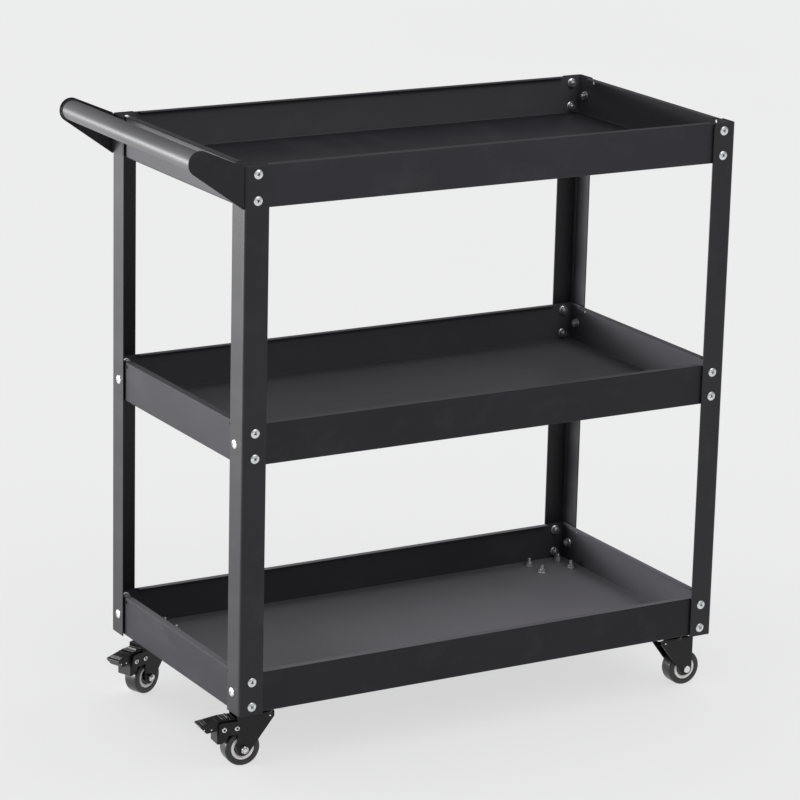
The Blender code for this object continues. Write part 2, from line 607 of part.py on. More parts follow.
def make_axle(corner, swivel):
    """The axle bolt, with its head on one cheek, and its nut on the other."""
    seat = FORK_OUTSIDE / 2 + GAP
    head = AXLE_RADIUS * 1.75
    top = seat + AXLE_HEAD_HEIGHT
    end = -seat - AXLE_NUT_HEIGHT - AXLE_TAIL
    bolt = turned("axle_bolt_" + corner, [(0, top), (head * 0.7, top), (head, top - AXLE_HEAD_CHAMFER),
                                          (head, seat), (AXLE_RADIUS, seat), (AXLE_RADIUS, end), (0, end)],
                  SMALL_SEGMENTS)
    finish(place(bolt, swivel, AXLE_AT, (pi / 2, 0, 0)), "bright_steel")
    low = -seat - AXLE_NUT_HEIGHT
    nut = turned("axle_nut_" + corner, [(0, -seat), (head, -seat), (head, low + AXLE_HEAD_CHAMFER),
                                        (head * 0.75, low), (0, low)], 6)
    nut.modifiers["turn"].use_smooth_shade = False
    drill(nut, nut, nut.name + "_bore", [((0, 0, -seat), (0, 0, 1))], AXLE_RADIUS + GAP,
          4 * AXLE_NUT_HEIGHT, SMALL_SEGMENTS)
    finish(place(nut, swivel, AXLE_AT, (pi / 2, 0, 0)), "bright_steel")


def make_wheel(corner, axle):
    """A hard core on the axle with a tread pressed round it."""
    half, hub, bore = WHEEL_WIDTH / 2, HUB_WIDTH / 2, AXLE_RADIUS + AXLE_CLEARANCE
    facet = (pi / 2, pi / WHEEL_SEGMENTS, 0)
    foot, dish, edge = HUB_RADIUS + HUB_FLARE, half - HUB_FLARE, half - CORE_EDGE
    core = turned("wheel_core_" + corner, [
        (bore, hub), (HUB_RADIUS, hub), (foot, dish), (CORE_RADIUS, edge),
        (CORE_RADIUS, -edge), (foot, -dish), (HUB_RADIUS, -hub), (bore, -hub)], ROUND_SEGMENTS, ring=True)
    finish(place(core, axle, turn=facet), "core")
    inner = (CORE_RADIUS + GAP) / cos(pi / WHEEL_SEGMENTS)
    side, flat = WHEEL_RADIUS - TREAD_SHOULDER, half - TREAD_SHOULDER
    tread = turned("wheel_tread_" + corner, [
        (inner, half), (side, half), (WHEEL_RADIUS, flat),
        (WHEEL_RADIUS, -flat), (side, -half), (inner, -half)], WHEEL_SEGMENTS, ring=True)
    finish(place(tread, axle, turn=facet), "tread")


# ---------------------------------------------------------------- brakes
def make_rivet(name, swivel, at):
    """A hollow rivet across the fork."""
    seat = FORK_OUTSIDE / 2 + GAP
    top = seat + RIVET_HEAD_HEIGHT
    rivet = turned(name, [(RIVET_BORE, top), (RIVET_HEAD_RADIUS, top), (RIVET_HEAD_RADIUS, seat),
                          (RIVET_RADIUS, seat), (RIVET_RADIUS, -seat), (RIVET_HEAD_RADIUS, -seat),
                          (RIVET_HEAD_RADIUS, -top), (RIVET_BORE, -top)], SMALL_SEGMENTS, ring=True)
    finish(place(rivet, swivel, at, (pi / 2, 0, 0)), "bright_steel")


def make_lever(corner, pivot):
    """The brake lever: a hollow pedal, an arm between the ears, and a shoe behind the wheel."""
    name = "brake_lever_" + corner
    upright = (pi / 2, 0, 0)
    tip = (PEDAL_TIP - PEDAL_FOLD, PEDAL_TOP - PEDAL_DIP - PEDAL_FOLD)
    brow = (PEDAL_TIP - PEDAL_SLOPE, PEDAL_TOP)
    lip_x, lip_z = PEDAL_LIP
    skirt = [(lip_x, lip_z, PEDAL_FOLD), (lip_x + PEDAL_SKIRT[0], lip_z + PEDAL_SKIRT[1], PEDAL_FOLD)]
    back = [(PEDAL_BACK, PEDAL_TOP, 0), (PEDAL_BACK, PEDAL_TOP - 2 * PEDAL_SHEET, 0)]
    outside = wrap([(*tip, PEDAL_FOLD), (*brow, 0), *skirt, *back], HOLE_SEGMENTS)
    lever = place(plate(name, outside, LEVER_WIDTH), pivot, turn=upright)

    under = PEDAL_TOP - PEDAL_SHEET
    along = (Vector(tip) - Vector(PEDAL_LIP)).normalized()
    low = Vector(PEDAL_LIP) - along * PEDAL_SHEET * 5
    inner_tip = Vector(tip) - along * PEDAL_SHEET * 2
    hollow = [(-PEDAL_TIP, low.y), tuple(low), tuple(inner_tip), (brow[0] - PEDAL_SHEET / 2, under),
              (-PEDAL_TIP, under)]
    inside = plate(name + "_hollow", [Vector(dot) for dot in hollow], LEVER_WIDTH - 2 * PEDAL_SHEET)
    combine(lever, place(inside, pivot, turn=upright, cutter=True), "DIFFERENCE")

    high = PEDAL_TOP - PEDAL_SHEET / 2
    shoe = [(SHOE_OUTSIDE - SHOE_CORNER, -SHOE_DROP, SHOE_CORNER), (SHOE_INSIDE, -SHOE_DROP, SHOE_CORNER)]
    arm_outline = wrap([(0, 0, LEVER_BOSS), (PEDAL_BACK + ARM_INSET, high, 0), (SHOE_OUTSIDE, high, 0),
                        *shoe], SMALL_SEGMENTS)
    arm = plate(name + "_arm", arm_outline, LEVER_WIDTH)
    combine(lever, place(arm, pivot, turn=upright, cutter=True), "UNION")
    # where the wheel lies, seen from the lever, once the pedal is pressed
    pressed = Matrix.Rotation(BRAKE_TURN, 2) @ -Vector(BRAKE_PIVOT)
    drill(lever, pivot, name + "_shoe_face", [((pressed.x, 0, pressed.y), (0, 1, 0))],
          WHEEL_RADIUS + BRAKE_AIR, 2 * LEVER_WIDTH, WHEEL_SEGMENTS)
    drill(lever, pivot, name + "_pivot_hole", [((0, 0, 0), (0, 1, 0))], RIVET_RADIUS + GAP, 2 * LEVER_WIDTH,
          SMALL_SEGMENTS)
    finish(lever, "pedal")


def make_caster(corner):
    """One caster: the mount on the cart, the swivelling fork, the wheel, and any brake."""
    hub = empty("caster_mount_" + corner, at=swivel_centre(corner))
    swivel = empty("swivel_axis_" + corner, hub, turn=(0, 0, radians(TRAIL_ANGLE[corner])))
    axle = empty("axle_axis_" + corner, swivel, AXLE_AT)
    make_mount(corner, hub)
    make_fork(corner, swivel)
    make_axle(corner, swivel)
    make_wheel(corner, axle)
    if corner in BRAKED:
        pivot = empty("brake_axis_" + corner, swivel, PIVOT_AT)
        make_rivet("brake_pivot_rivet_" + corner, swivel, PIVOT_AT)
        make_rivet("brake_rivet_" + corner, swivel, RIVET_AT)
        make_lever(corner, pivot)


for tray_level in TRAY_UNDERSIDES:
    make_tray(tray_level)
for post_corner in CORNERS:
    make_post(post_corner)
make_handle()
for tray_level in TRAY_UNDERSIDES:
    for screw_corner in CORNERS:
        make_end_screw(tray_level, screw_corner)
for caster_corner in CORNERS:
    make_caster(caster_corner)
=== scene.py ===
import json
from math import atan2, cos, hypot, pi, radians, sin

import bmesh
import bpy
from mathutils import Matrix, Vector, noise


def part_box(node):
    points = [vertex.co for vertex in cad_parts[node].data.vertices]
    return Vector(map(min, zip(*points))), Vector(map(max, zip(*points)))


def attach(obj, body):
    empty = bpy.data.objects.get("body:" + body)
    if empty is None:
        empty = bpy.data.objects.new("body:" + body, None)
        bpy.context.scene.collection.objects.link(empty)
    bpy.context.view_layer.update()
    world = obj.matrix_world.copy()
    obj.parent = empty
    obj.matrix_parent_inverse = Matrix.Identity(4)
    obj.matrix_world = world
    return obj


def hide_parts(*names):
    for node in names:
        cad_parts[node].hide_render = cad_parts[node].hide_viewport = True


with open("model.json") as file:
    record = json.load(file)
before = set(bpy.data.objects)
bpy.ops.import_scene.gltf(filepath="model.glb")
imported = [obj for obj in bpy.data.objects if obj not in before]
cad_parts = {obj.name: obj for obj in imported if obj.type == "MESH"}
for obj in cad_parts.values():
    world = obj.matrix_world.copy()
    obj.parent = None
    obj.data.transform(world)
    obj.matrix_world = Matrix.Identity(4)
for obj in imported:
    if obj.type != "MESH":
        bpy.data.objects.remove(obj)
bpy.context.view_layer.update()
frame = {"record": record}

# ---------------------------------------------------------------- sizes and places, in metres
GAP = 0.0003
CORNERS = {"front_left": (-1, -1), "front_right": (1, -1), "back_left": (-1, 1), "back_right": (1, 1)}
LEVELS = ("bottom", "middle", "top")
BRAKED = ("front_left", "back_left")

POST_LOW, POST_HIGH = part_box("post_front_left")
FAR_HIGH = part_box("post_back_right")[1]
END_X = {-1: POST_LOW.x, 1: FAR_HIGH.x}
SIDE_Y = {-1: POST_LOW.y, 1: FAR_HIGH.y}
POST_LEG = POST_HIGH.x - POST_LOW.x
POST_BOTTOM, POST_TOP = POST_LOW.z, POST_HIGH.z
POST_SHEET = 0.0015
POST_FOLD = 0.0028
POST_CORNER = 0.0055
TRAY_SHEET = 0.0010
WALL = POST_SHEET + GAP + TRAY_SHEET     # a post's flange, the gap and the tray's wall
TRAY_FOLD = 0.0018
RIM_FOLD = 0.0013
LIP_WIDTH = 0.0095
LIP_RELIEF = 0.0015
# The small hole through a tray's short side, beside each post. Its place is approximate.
END_HOLE_RADIUS = 0.0024
END_HOLE_INSET = 0.0362
END_HOLE_DROP = 0.0055

SIDE_SCREW_INSET = 0.016
SIDE_SCREW_MARGIN = 0.010
SCREW_HEAD_RADIUS = 0.0060
SCREW_HEAD_HEIGHT = 0.0033
SCREW_RADIUS = 0.0029
THREAD_PITCH = 0.0010
THREAD_DEPTH = 0.00045
NUT_FLATS = 0.0100
NUT_HEIGHT = 0.0052
NUT_FLANGE = 0.0064
SCREW_TAIL = 0.0018

HANDLE_RADIUS = 0.0127
BRACKET_SHEET = 0.0015
BRACKET_MARGIN = 0.0028
BRACKET_TOE = 0.0015
BRACKET_TAB = 0.029
BRACKET_FOLD = 0.0024
WELD_RADIUS = 0.0013

PLATE_SHEET = 0.0022
PLATE_CORNER = 0.006
BOLT_SPACING = (0.048, 0.034)
PLATE_MARGIN = 0.007
BOLT_HEAD_RADIUS = 0.0056
BOLT_HEAD_HEIGHT = 0.0045
BOLT_TAIL = 0.0045
RACE_RADIUS = 0.0150
BALL_RADIUS = 0.0022
WHEEL_RADIUS = 0.0235
WHEEL_WIDTH = 0.021
RIM_RADIUS = 0.0155
AXLE_RADIUS = 0.0030
AXLE_FLATS = 0.0092
FORK_SHEET = 0.0020
FORK_INSIDE = 0.0244
FORK_OUTSIDE = FORK_INSIDE + 2 * FORK_SHEET
FORK_NOSE = 0.0175
FORK_NOSE_DEPTH = 0.0088
FORK_HEEL = 0.032
FORK_HEEL_DEPTH = 0.0165
FORK_TOE = 0.0087
FORK_FOLD = 0.0030
KINGPIN_RADIUS = 0.0047
KINGPIN_HEAD = 0.0085
RIVET_HEAD = 0.0034
RIVET_BORE = 0.0014
EAR_LENGTH, EAR_TOP, EAR_BOTTOM, EAR_CORNER = 0.0065, 0.0090, 0.0085, 0.0040
BRAKE_TURN = radians(16)

# A pale grey painted on the trays' faces that look up and in: painted light, standing for the light that
# falls there.
PAINTED_LIGHT_TONE = (0.28, 0.27, 0.295)

SCENE = bpy.context.scene
PIECES = bpy.data.collections.new("cart_looks")
SCENE.collection.children.link(PIECES)


# ---------------------------------------------------------------- materials
class Looks:
    """A node material under construction."""

    def __init__(self, name):
        self.material = bpy.data.materials.new(name)
        self.material.use_nodes = True
        self.tree = self.material.node_tree
        self.shader = self.tree.nodes["Principled BSDF"]
        self.place = self.node("ShaderNodeTexCoord").outputs["Object"]

    def node(self, kind, **settings):
        made = self.tree.nodes.new(kind)
        for key, value in settings.items():
            setattr(made, key, value)
        return made

    def join(self, output, socket):
        self.tree.links.new(output, socket)

    def noise(self, scale, detail=3.0, rough=0.5, stretch=None):
        place = self.place
        if stretch:
            mapping = self.node("ShaderNodeMapping")
            mapping.inputs["Scale"].default_value = stretch
            self.join(place, mapping.inputs["Vector"])
            place = mapping.outputs["Vector"]
        made = self.node("ShaderNodeTexNoise")
        made.inputs["Scale"].default_value = scale
        made.inputs["Detail"].default_value = detail
        made.inputs["Roughness"].default_value = rough
        self.join(place, made.inputs["Vector"])
        return made.outputs["Fac"]

    def spread(self, value, low, high, from_low=0.3, from_high=0.7):
        made = self.node("ShaderNodeMapRange")
        made.inputs["From Min"].default_value = from_low
        made.inputs["From Max"].default_value = from_high
        made.inputs["To Min"].default_value = low
        made.inputs["To Max"].default_value = high
        self.join(value, made.inputs["Value"])
        return made.outputs["Result"]

    def blend(self, factor, first, second):
        made = self.node("ShaderNodeMix", data_type="RGBA")
        self.join(factor, made.inputs["Factor"])
        for socket, colour in ((made.inputs["A"], first), (made.inputs["B"], second)):
            if isinstance(colour, tuple):
                socket.default_value = (*colour, 1)
            else:
                self.join(colour, socket)
        return made.outputs["Result"]

    def bump(self, height, depth, under=None):
        made = self.node("ShaderNodeBump")
        made.inputs["Distance"].default_value = depth
        self.join(height, made.inputs["Height"])
        if under:
            self.join(under, made.inputs["Normal"])
        return made.outputs["Normal"]

    def finish(self, colour, roughness, normal, metallic=0.0, specular=0.5, coat=0.0, coat_roughness=0.1):
        inputs = self.shader.inputs
        self.join(colour, inputs["Base Color"])
        self.join(roughness, inputs["Roughness"])
        self.join(normal, inputs["Normal"])
        inputs["Metallic"].default_value = metallic
        inputs["Specular IOR Level"].default_value = specular
        inputs["Coat Weight"].default_value = coat
        inputs["Coat Roughness"].default_value = coat_roughness
        return self.material


def shade(colour, factor):
    return tuple(channel * factor for channel in colour)


def powder_coat(name, colour, roughness, specular=0.4, upward_painted_light=0.0, inward_painted_light=0.0):
    """Satin powder coat: fine orange peel, soft mottling, and a little dust and handling.

    The last two arguments set how strongly a pale grey is painted on faces that look up and on faces that
    look in towards the cart's middle:
    painted light, standing for the light that falls on those faces.
    """
    looks = Looks(name)
    peel = looks.noise(1100, 2.0)
    grit = looks.noise(4200, 1.0)
    clouds = looks.noise(7, 4.0)
    wipes = looks.noise(16, 5.0, 0.65, (1.0, 0.35, 1.0))
    colour_out = looks.blend(looks.spread(clouds, 0, 1), colour, shade(colour, 1.35))
    dusty = looks.spread(wipes, 0.0, 0.10, 0.52, 0.80)
    colour_out = looks.blend(dusty, colour_out, (0.16, 0.16, 0.165))
    # Painted light: a pale grey on faces that look up, standing for the light that falls on them.
    if upward_painted_light:
        height = looks.node("ShaderNodeSeparateXYZ")
        looks.join(looks.node("ShaderNodeNewGeometry").outputs["Normal"], height.inputs[0])
        upward_light_mask = looks.spread(height.outputs["Z"], 0.0, upward_painted_light, 0.80, 0.98)
        colour_out = looks.blend(upward_light_mask, colour_out, PAINTED_LIGHT_TONE)
    # Painted light: a pale grey on faces that look in towards the cart's middle, standing for the light that
    # falls on them.
    if inward_painted_light:
        level = looks.node("ShaderNodeVectorMath", operation="MULTIPLY")
        looks.join(looks.node("ShaderNodeTexCoord").outputs["Object"], level.inputs[0])
        level.inputs[1].default_value = (1, 1, 0)
        inward = looks.node("ShaderNodeVectorMath", operation="DOT_PRODUCT")
        looks.join(level.outputs[0], inward.inputs[0])
        looks.join(looks.node("ShaderNodeNewGeometry").outputs["Normal"], inward.inputs[1])
        inward_light_mask = looks.spread(inward.outputs["Value"], inward_painted_light, 0.0, -0.16, -0.05)
        colour_out = looks.blend(inward_light_mask, colour_out, PAINTED_LIGHT_TONE)
    worn = looks.spread(looks.node("ShaderNodeNewGeometry").outputs["Pointiness"], 0.0, 0.35, 0.53, 0.62)
    colour_out = looks.blend(worn, colour_out, shade(colour, 2.6))
    rough_out = looks.spread(wipes, roughness - 0.04, roughness + 0.06)
    normal = looks.bump(peel, 0.00006, looks.bump(grit, 0.000012))
    return looks.finish(colour_out, rough_out, normal, specular=specular)


def plated(name, colour, roughness, grain=2600):
    """Plated steel: slight cloudiness in the plating over faint tooling marks."""
    looks = Looks(name)
    clouds = looks.noise(420, 4.0)
    marks = looks.noise(grain, 2.0, 0.6, (1.0, 1.0, 0.25))
    colour_out = looks.blend(looks.spread(clouds, 0, 1), shade(colour, 0.78), colour)
    rough_out = looks.spread(clouds, roughness + 0.10, roughness - 0.03)
    normal = looks.bump(marks, 0.000012)
    return looks.finish(colour_out, rough_out, normal, metallic=1.0)


def lacquer(name, colour, roughness, specular=0.5, worn=0.0):
    """Gloss black lacquer on pressed steel, with the press marks showing through."""
    looks = Looks(name)
    press = looks.noise(260, 3.0)
    speck = looks.noise(2400, 2.0)
    clouds = looks.noise(60, 4.0)
    colour_out = looks.blend(looks.spread(clouds, 0, 1), colour, shade(colour, 1.6))
    if worn:
        edge = looks.node("ShaderNodeNewGeometry").outputs["Pointiness"]
        rubbed = looks.spread(edge, 0.0, worn, 0.53, 0.60)
        colour_out = looks.blend(rubbed, colour_out, (0.30, 0.30, 0.31))
    rough_out = looks.spread(press, roughness - 0.05, roughness + 0.08)
    normal = looks.bump(press, 0.00008, looks.bump(speck, 0.00001))
    return looks.finish(colour_out, rough_out, normal, specular=specular, coat=0.06, coat_roughness=0.3)


def moulded(name, colour, roughness, grain=1800, depth=0.00002, tint=0.85, coat=0.0):
    """Moulded plastic or rubber: fine grain, soft flow marks and light dust."""
    looks = Looks(name)
    flow = looks.noise(120, 3.0)
    fine = looks.noise(grain, 2.0)
    colour_out = looks.blend(looks.spread(flow, 0, 1), shade(colour, tint), colour)
    rough_out = looks.spread(flow, roughness - 0.05, roughness + 0.07)
    normal = looks.bump(fine, depth)
    return looks.finish(colour_out, rough_out, normal, specular=0.5, coat=coat, coat_roughness=0.15)


# The three trays share one coat in three copies. The top one's base is lighter and glossier, and the lower
# ones' darker. Each has its own strength of painted light on faces that look up and in. This is painted light
# and shade, standing for how the light falls on each level.
TRAY_COATS_WITH_PAINTED_LIGHT = {
    "top": powder_coat("top_tray_coat_painted_light_and_shade", (0.0165, 0.0158, 0.0212), 0.46, 0.30, 0.02, 0.23),
    "middle": powder_coat("middle_tray_coat_painted_light_and_shade", (0.0115, 0.0111, 0.0152), 0.46, 0.25, 0.38, 0.25),
    "bottom": powder_coat("bottom_tray_coat_painted_light_and_shade", (0.0105, 0.0101, 0.0140), 0.46, 0.24, 0.78, 0.15),
}
POST_COAT = powder_coat("post_powder_coat", (0.0125, 0.0122, 0.0145), 0.44, 0.32)
TUBE_COAT = powder_coat("handle_powder_coat", (0.056, 0.056, 0.059), 0.40, 0.6)
BRACKET_COAT = powder_coat("bracket_powder_coat", (0.0085, 0.0085, 0.0100), 0.44, 0.3)
ZINC = plated("zinc_plate", (0.86, 0.87, 0.89), 0.33)
NICKEL = plated("nickel_plate", (0.86, 0.86, 0.88), 0.12, 1800)
BALL_STEEL = plated("ball_steel", (0.70, 0.70, 0.72), 0.10, 1200)
FORK_BLACK = lacquer("fork_lacquer", (0.0048, 0.0048, 0.0054), 0.34, 0.28)
PEDAL_BLACK = lacquer("pedal_lacquer", (0.0055, 0.0055, 0.0060), 0.46, 0.30, worn=0.04)
RIM_GREY = moulded("rim_plastic", (0.92, 0.89, 0.88), 0.34, 1500, 0.000012, 0.90)
CAP_BLACK = moulded("hub_cap_plastic", (0.016, 0.012, 0.012), 0.20, 900, 0.00001, 0.8, coat=0.6)
TREAD_BLACK = moulded("tread_rubber", (0.0080, 0.0080, 0.0085), 0.36, 2200, 0.00003, 0.75, coat=0.25)


# ---------------------------------------------------------------- outlines
def arc(x, y, radius, start, end, steps):
    """Points along part of a circle, angles in degrees."""
    turns = [radians(start + (end - start) * step / steps) for step in range(steps + 1)]
    return [(x + radius * cos(turn), y + radius * sin(turn)) for turn in turns]


def quarter(step, start=0):
    """Angles up to a right angle, given in degrees and returned in radians."""
    return [radians(angle) for angle in range(start, 91, step)]


def turn_of(first, second, third):
    return ((second[0] - first[0]) * (third[1] - first[1])
            - (second[1] - first[1]) * (third[0] - first[0]))


def hull(circles, steps=48):
    """The taut band round (x, y, radius) circles."""
    dots = sorted(dot for x, y, radius in circles
                  for dot in (arc(x, y, radius, 0, 360, steps)[:-1] if radius > 0 else [(x, y)]))
    band = []
    for run in (dots, dots[::-1]):
        side = []
        for dot in run:
            while len(side) > 1 and turn_of(side[-2], side[-1], dot) <= 1e-12:
                side.pop()
            side.append(dot)
        band += side[:-1]
    return band


def span_at(band, level):
    """Lowest and highest x where a convex band crosses a level, or None."""
    hits = []
    for (ax, ay), (bx, by) in zip(band, band[1:] + band[:1]):
        if min(ay, by) <= level <= max(ay, by):
            hits += [ax, bx] if ay == by else [ax + (bx - ax) * (level - ay) / (by - ay)]
    return (min(hits), max(hits)) if hits else None


def rounded_box(half_x, half_y, radius, steps=8):
    """A rectangle with rounded corners, anticlockwise."""
    x, y = half_x - radius, half_y - radius
    return (arc(x, y, radius, 0, 90, steps) + arc(-x, y, radius, 90, 180, steps)
            + arc(-x, -y, radius, 180, 270, steps) + arc(x, -y, radius, 270, 360, steps))


# ---------------------------------------------------------------- meshes
def mesh_of(bm):
    bmesh.ops.remove_doubles(bm, verts=bm.verts, dist=1e-7)
    bmesh.ops.recalc_face_normals(bm, faces=bm.faces)
    mesh = bpy.data.meshes.new("shape")
    bm.to_mesh(mesh)
    bm.free()
    return mesh


def lathe(profile, segments=64, ring=False, radius_at=None):
    """A profile of (radius, z) points turned about Z."""
    bm = bmesh.new()
    rows = []
    for radius, z in profile:
        if radius < 1e-7:
            rows.append([bm.verts.new((0, 0, z))] * segments)
            continue
        row = []
        for step in range(segments):
            turn = 2 * pi * step / segments
            reach = radius_at(radius, z, turn) if radius_at else radius
            row.append(bm.verts.new((reach * cos(turn), reach * sin(turn), z)))
        rows.append(row)
    pairs = list(zip(rows, rows[1:])) + ([(rows[-1], rows[0])] if ring else [])
    for upper, lower in pairs:
        for step in range(segments):
            after = (step + 1) % segments
            corners = []
            for vert in (upper[step], upper[after], lower[after], lower[step]):
                if vert not in corners:
                    corners.append(vert)
            if len(corners) > 2:
                bm.faces.new(corners)
    return mesh_of(bm)


def slab(points, thickness):
    """A flat outline in XZ given a thickness, centred on Y = 0."""
    bm = bmesh.new()
    face = bm.faces.new([bm.verts.new((x, -thickness / 2, z)) for x, z in points])
    grown = bmesh.ops.extrude_face_region(bm, geom=[face])
    moved = [item for item in grown["geom"] if isinstance(item, bmesh.types.BMVert)]
    bmesh.ops.translate(bm, verts=moved, vec=(0, thickness, 0))
    return mesh_of(bm)


def sheet_of(rows):
    """An open surface through rows of points, each row as long as the next."""
    bm = bmesh.new()
    grid = [[bm.verts.new(point) for point in row] for row in rows]
    for upper, lower in zip(grid, grid[1:]):
        for column in range(len(upper) - 1):
            bm.faces.new((upper[column], upper[column + 1], lower[column + 1], lower[column]))
    mesh = bpy.data.meshes.new("sheet")
    bm.to_mesh(mesh)
    bm.free()
    return mesh


def box_mesh(low, high):
    bm = bmesh.new()
    middle, size = (Vector(low) + Vector(high)) / 2, Vector(high) - Vector(low)
    bmesh.ops.create_cube(bm, size=1, matrix=Matrix.Translation(middle) @ Matrix.Diagonal((*size, 1)))
    return mesh_of(bm)


def gather(parts):
    """One mesh from several (mesh, matrix) pairs."""
    bm = bmesh.new()
    for mesh, matrix in parts:
        start = len(bm.verts)
        bm.from_mesh(mesh)
        bm.verts.ensure_lookup_table()
        bmesh.ops.transform(bm, matrix=matrix, verts=bm.verts[start:])
    made = bpy.data.meshes.new("group")
    bm.to_mesh(made)
    bm.free()
    return made


def modifier(obj, kind, **settings):
    made = obj.modifiers.new(kind.lower(), kind)
    for key, value in settings.items():
        setattr(made, key, value)
    return made


def settled(mesh, steps):
    """The mesh after modifiers, given as (kind, settings) pairs."""
    holder = bpy.data.objects.new("holder", mesh)
    SCENE.collection.objects.link(holder)
    for kind, settings in steps:
        modifier(holder, kind, **settings)
    made = bpy.data.meshes.new_from_object(holder.evaluated_get(bpy.context.evaluated_depsgraph_get()))
    bpy.data.objects.remove(holder, do_unlink=True)
    return made


def thickened(mesh, thickness, offset):
    """A sheet given its thickness; the offset says on which side of it."""
    return settled(mesh, [("SOLIDIFY", {"thickness": thickness, "offset": offset, "use_even_offset": True})])


def combined(mesh, others, operation="DIFFERENCE"):
    """Cuts other meshes out of a mesh, or joins them to it."""
    holders = []
    for other in others:
        holder = bpy.data.objects.new("cutter", other)
        SCENE.collection.objects.link(holder)
        holders.append(holder)
    made = settled(mesh, [("BOOLEAN", {"operation": operation, "solver": "EXACT", "object": holder})
                          for holder in holders])
    for holder in holders:
        bpy.data.objects.remove(holder, do_unlink=True)
    return made


def piece(name, mesh, material, body, slot, replaces=(), edge=0.0, matrix=None, sharp=32):
    """Adds a shape to the cart: its finish, rounded edges, and the body that it rides on."""
    if matrix is not None:
        mesh = mesh.copy()
        mesh.transform(matrix)
    mesh.name = name
    mesh.materials.clear()
    mesh.materials.append(material)
    obj = bpy.data.objects.new(name, mesh)
    PIECES.objects.link(obj)
    mesh.shade_smooth()
    mesh.set_sharp_from_angle(angle=radians(sharp))
    if edge:
        modifier(obj, "BEVEL", width=edge, segments=2, limit_method="ANGLE", angle_limit=radians(40),
                 use_clamp_overlap=True)
    modifier(obj, "WEIGHTED_NORMAL", keep_sharp=True, weight=60)
    if replaces:
        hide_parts(*replaces)
    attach(obj, body)
    return obj


def facing(point, outward, spin=0.0):
    """Stands a shape's +Z along a direction, at a point."""
    aim = Vector(outward).to_track_quat("Z", "Y").to_matrix().to_4x4()
    return Matrix.Translation(point) @ aim @ Matrix.Rotation(spin, 4, "Z")


# ---------------------------------------------------------------- camera, floor and light
def make_camera():
    """The camera: round to the handle end, a little above, and a touch rolled."""
    azimuth, elevation, roll, distance = radians(-30.22), radians(15.66), radians(1.40), 4.40
    target = Vector((END_X[-1], SIDE_Y[-1], POST_BOTTOM)) + Vector((0.2791, 0.1061, 0.3450))
    back = Vector((sin(azimuth) * cos(elevation), -cos(azimuth) * cos(elevation), sin(elevation)))
    right = Vector((cos(azimuth), sin(azimuth), 0))
    up = back.cross(right)
    across = right * cos(roll) + up * sin(roll)
    above = up * cos(roll) - right * sin(roll)
    camera = bpy.data.cameras.new("camera")
    camera.sensor_width = 36
    camera.lens = 156.2
    camera.clip_end = 100
    obj = bpy.data.objects.new("camera", camera)
    SCENE.collection.objects.link(obj)
    turn = Matrix((across, above, back)).transposed().to_4x4()
    obj.matrix_world = Matrix.Translation(target + back * distance) @ turn
    SCENE.camera = obj


def make_light(name, at, target, size, power):
    """A soft light that falls on the cart alone."""
    light = bpy.data.lights.new(name, "AREA")
    light.shape = "RECTANGLE"
    light.size, light.size_y = size
    light.energy = power
    obj = bpy.data.objects.new(name, light)
    SCENE.collection.objects.link(obj)
    aim = (Vector(at) - Vector(target)).to_track_quat("Z", "Y").to_matrix().to_4x4()
    obj.matrix_world = Matrix.Translation(at) @ aim
    obj.light_linking.receiver_collection = PIECES
    obj.light_linking.blocker_collection = PIECES


def make_stage():
    """A wide pale floor under an even pale sky."""
    bm = bmesh.new()
    bmesh.ops.create_grid(bm, x_segments=1, y_segments=1, size=60)
    mesh = mesh_of(bm)
    floor = bpy.data.objects.new("floor", mesh)
    SCENE.collection.objects.link(floor)
    looks = Looks("floor_paper")
    fibre = looks.noise(900, 2.0)
    colour = looks.blend(looks.spread(looks.noise(0.8, 2.0), 0, 1), (0.80, 0.80, 0.802), (0.81, 0.81, 0.812))
    mesh.materials.append(looks.finish(colour, looks.spread(fibre, 0.85, 0.95), looks.bump(fibre, 0.00002),
                                       specular=0.1))
    ground = bpy.data.collections.new("ground")
    SCENE.collection.children.link(ground)
    ground.objects.link(floor)
    wash = bpy.data.lights.new("floor_wash", "SUN")
    wash.energy = 2.42
    wash.angle = radians(20)
    lamp = bpy.data.objects.new("floor_wash", wash)
    SCENE.collection.objects.link(lamp)
    lamp.light_linking.receiver_collection = ground
    lamp.light_linking.blocker_collection = ground
    world = bpy.data.worlds.new("studio")
    world.use_nodes = True
    sky = world.node_tree.nodes["Background"]
    sky.inputs["Color"].default_value = (0.97, 0.975, 0.98, 1)
    sky.inputs["Strength"].default_value = 0.30
    SCENE.world = world
    SCENE.view_settings.view_transform = "Standard"


# ---------------------------------------------------------------- screws and nuts
def thread(start, end, radius):
    """Profile of a threaded shank between two heights."""
    points = []
    count = max(1, round(abs(end - start) / THREAD_PITCH))
    step = (end - start) / count
    for index in range(count):
        z = start + step * index
        points += [(radius - THREAD_DEPTH, z), (radius, z + step * 0.35), (radius, z + step * 0.6),
                   (radius - THREAD_DEPTH, z + step * 0.95)]
    return points


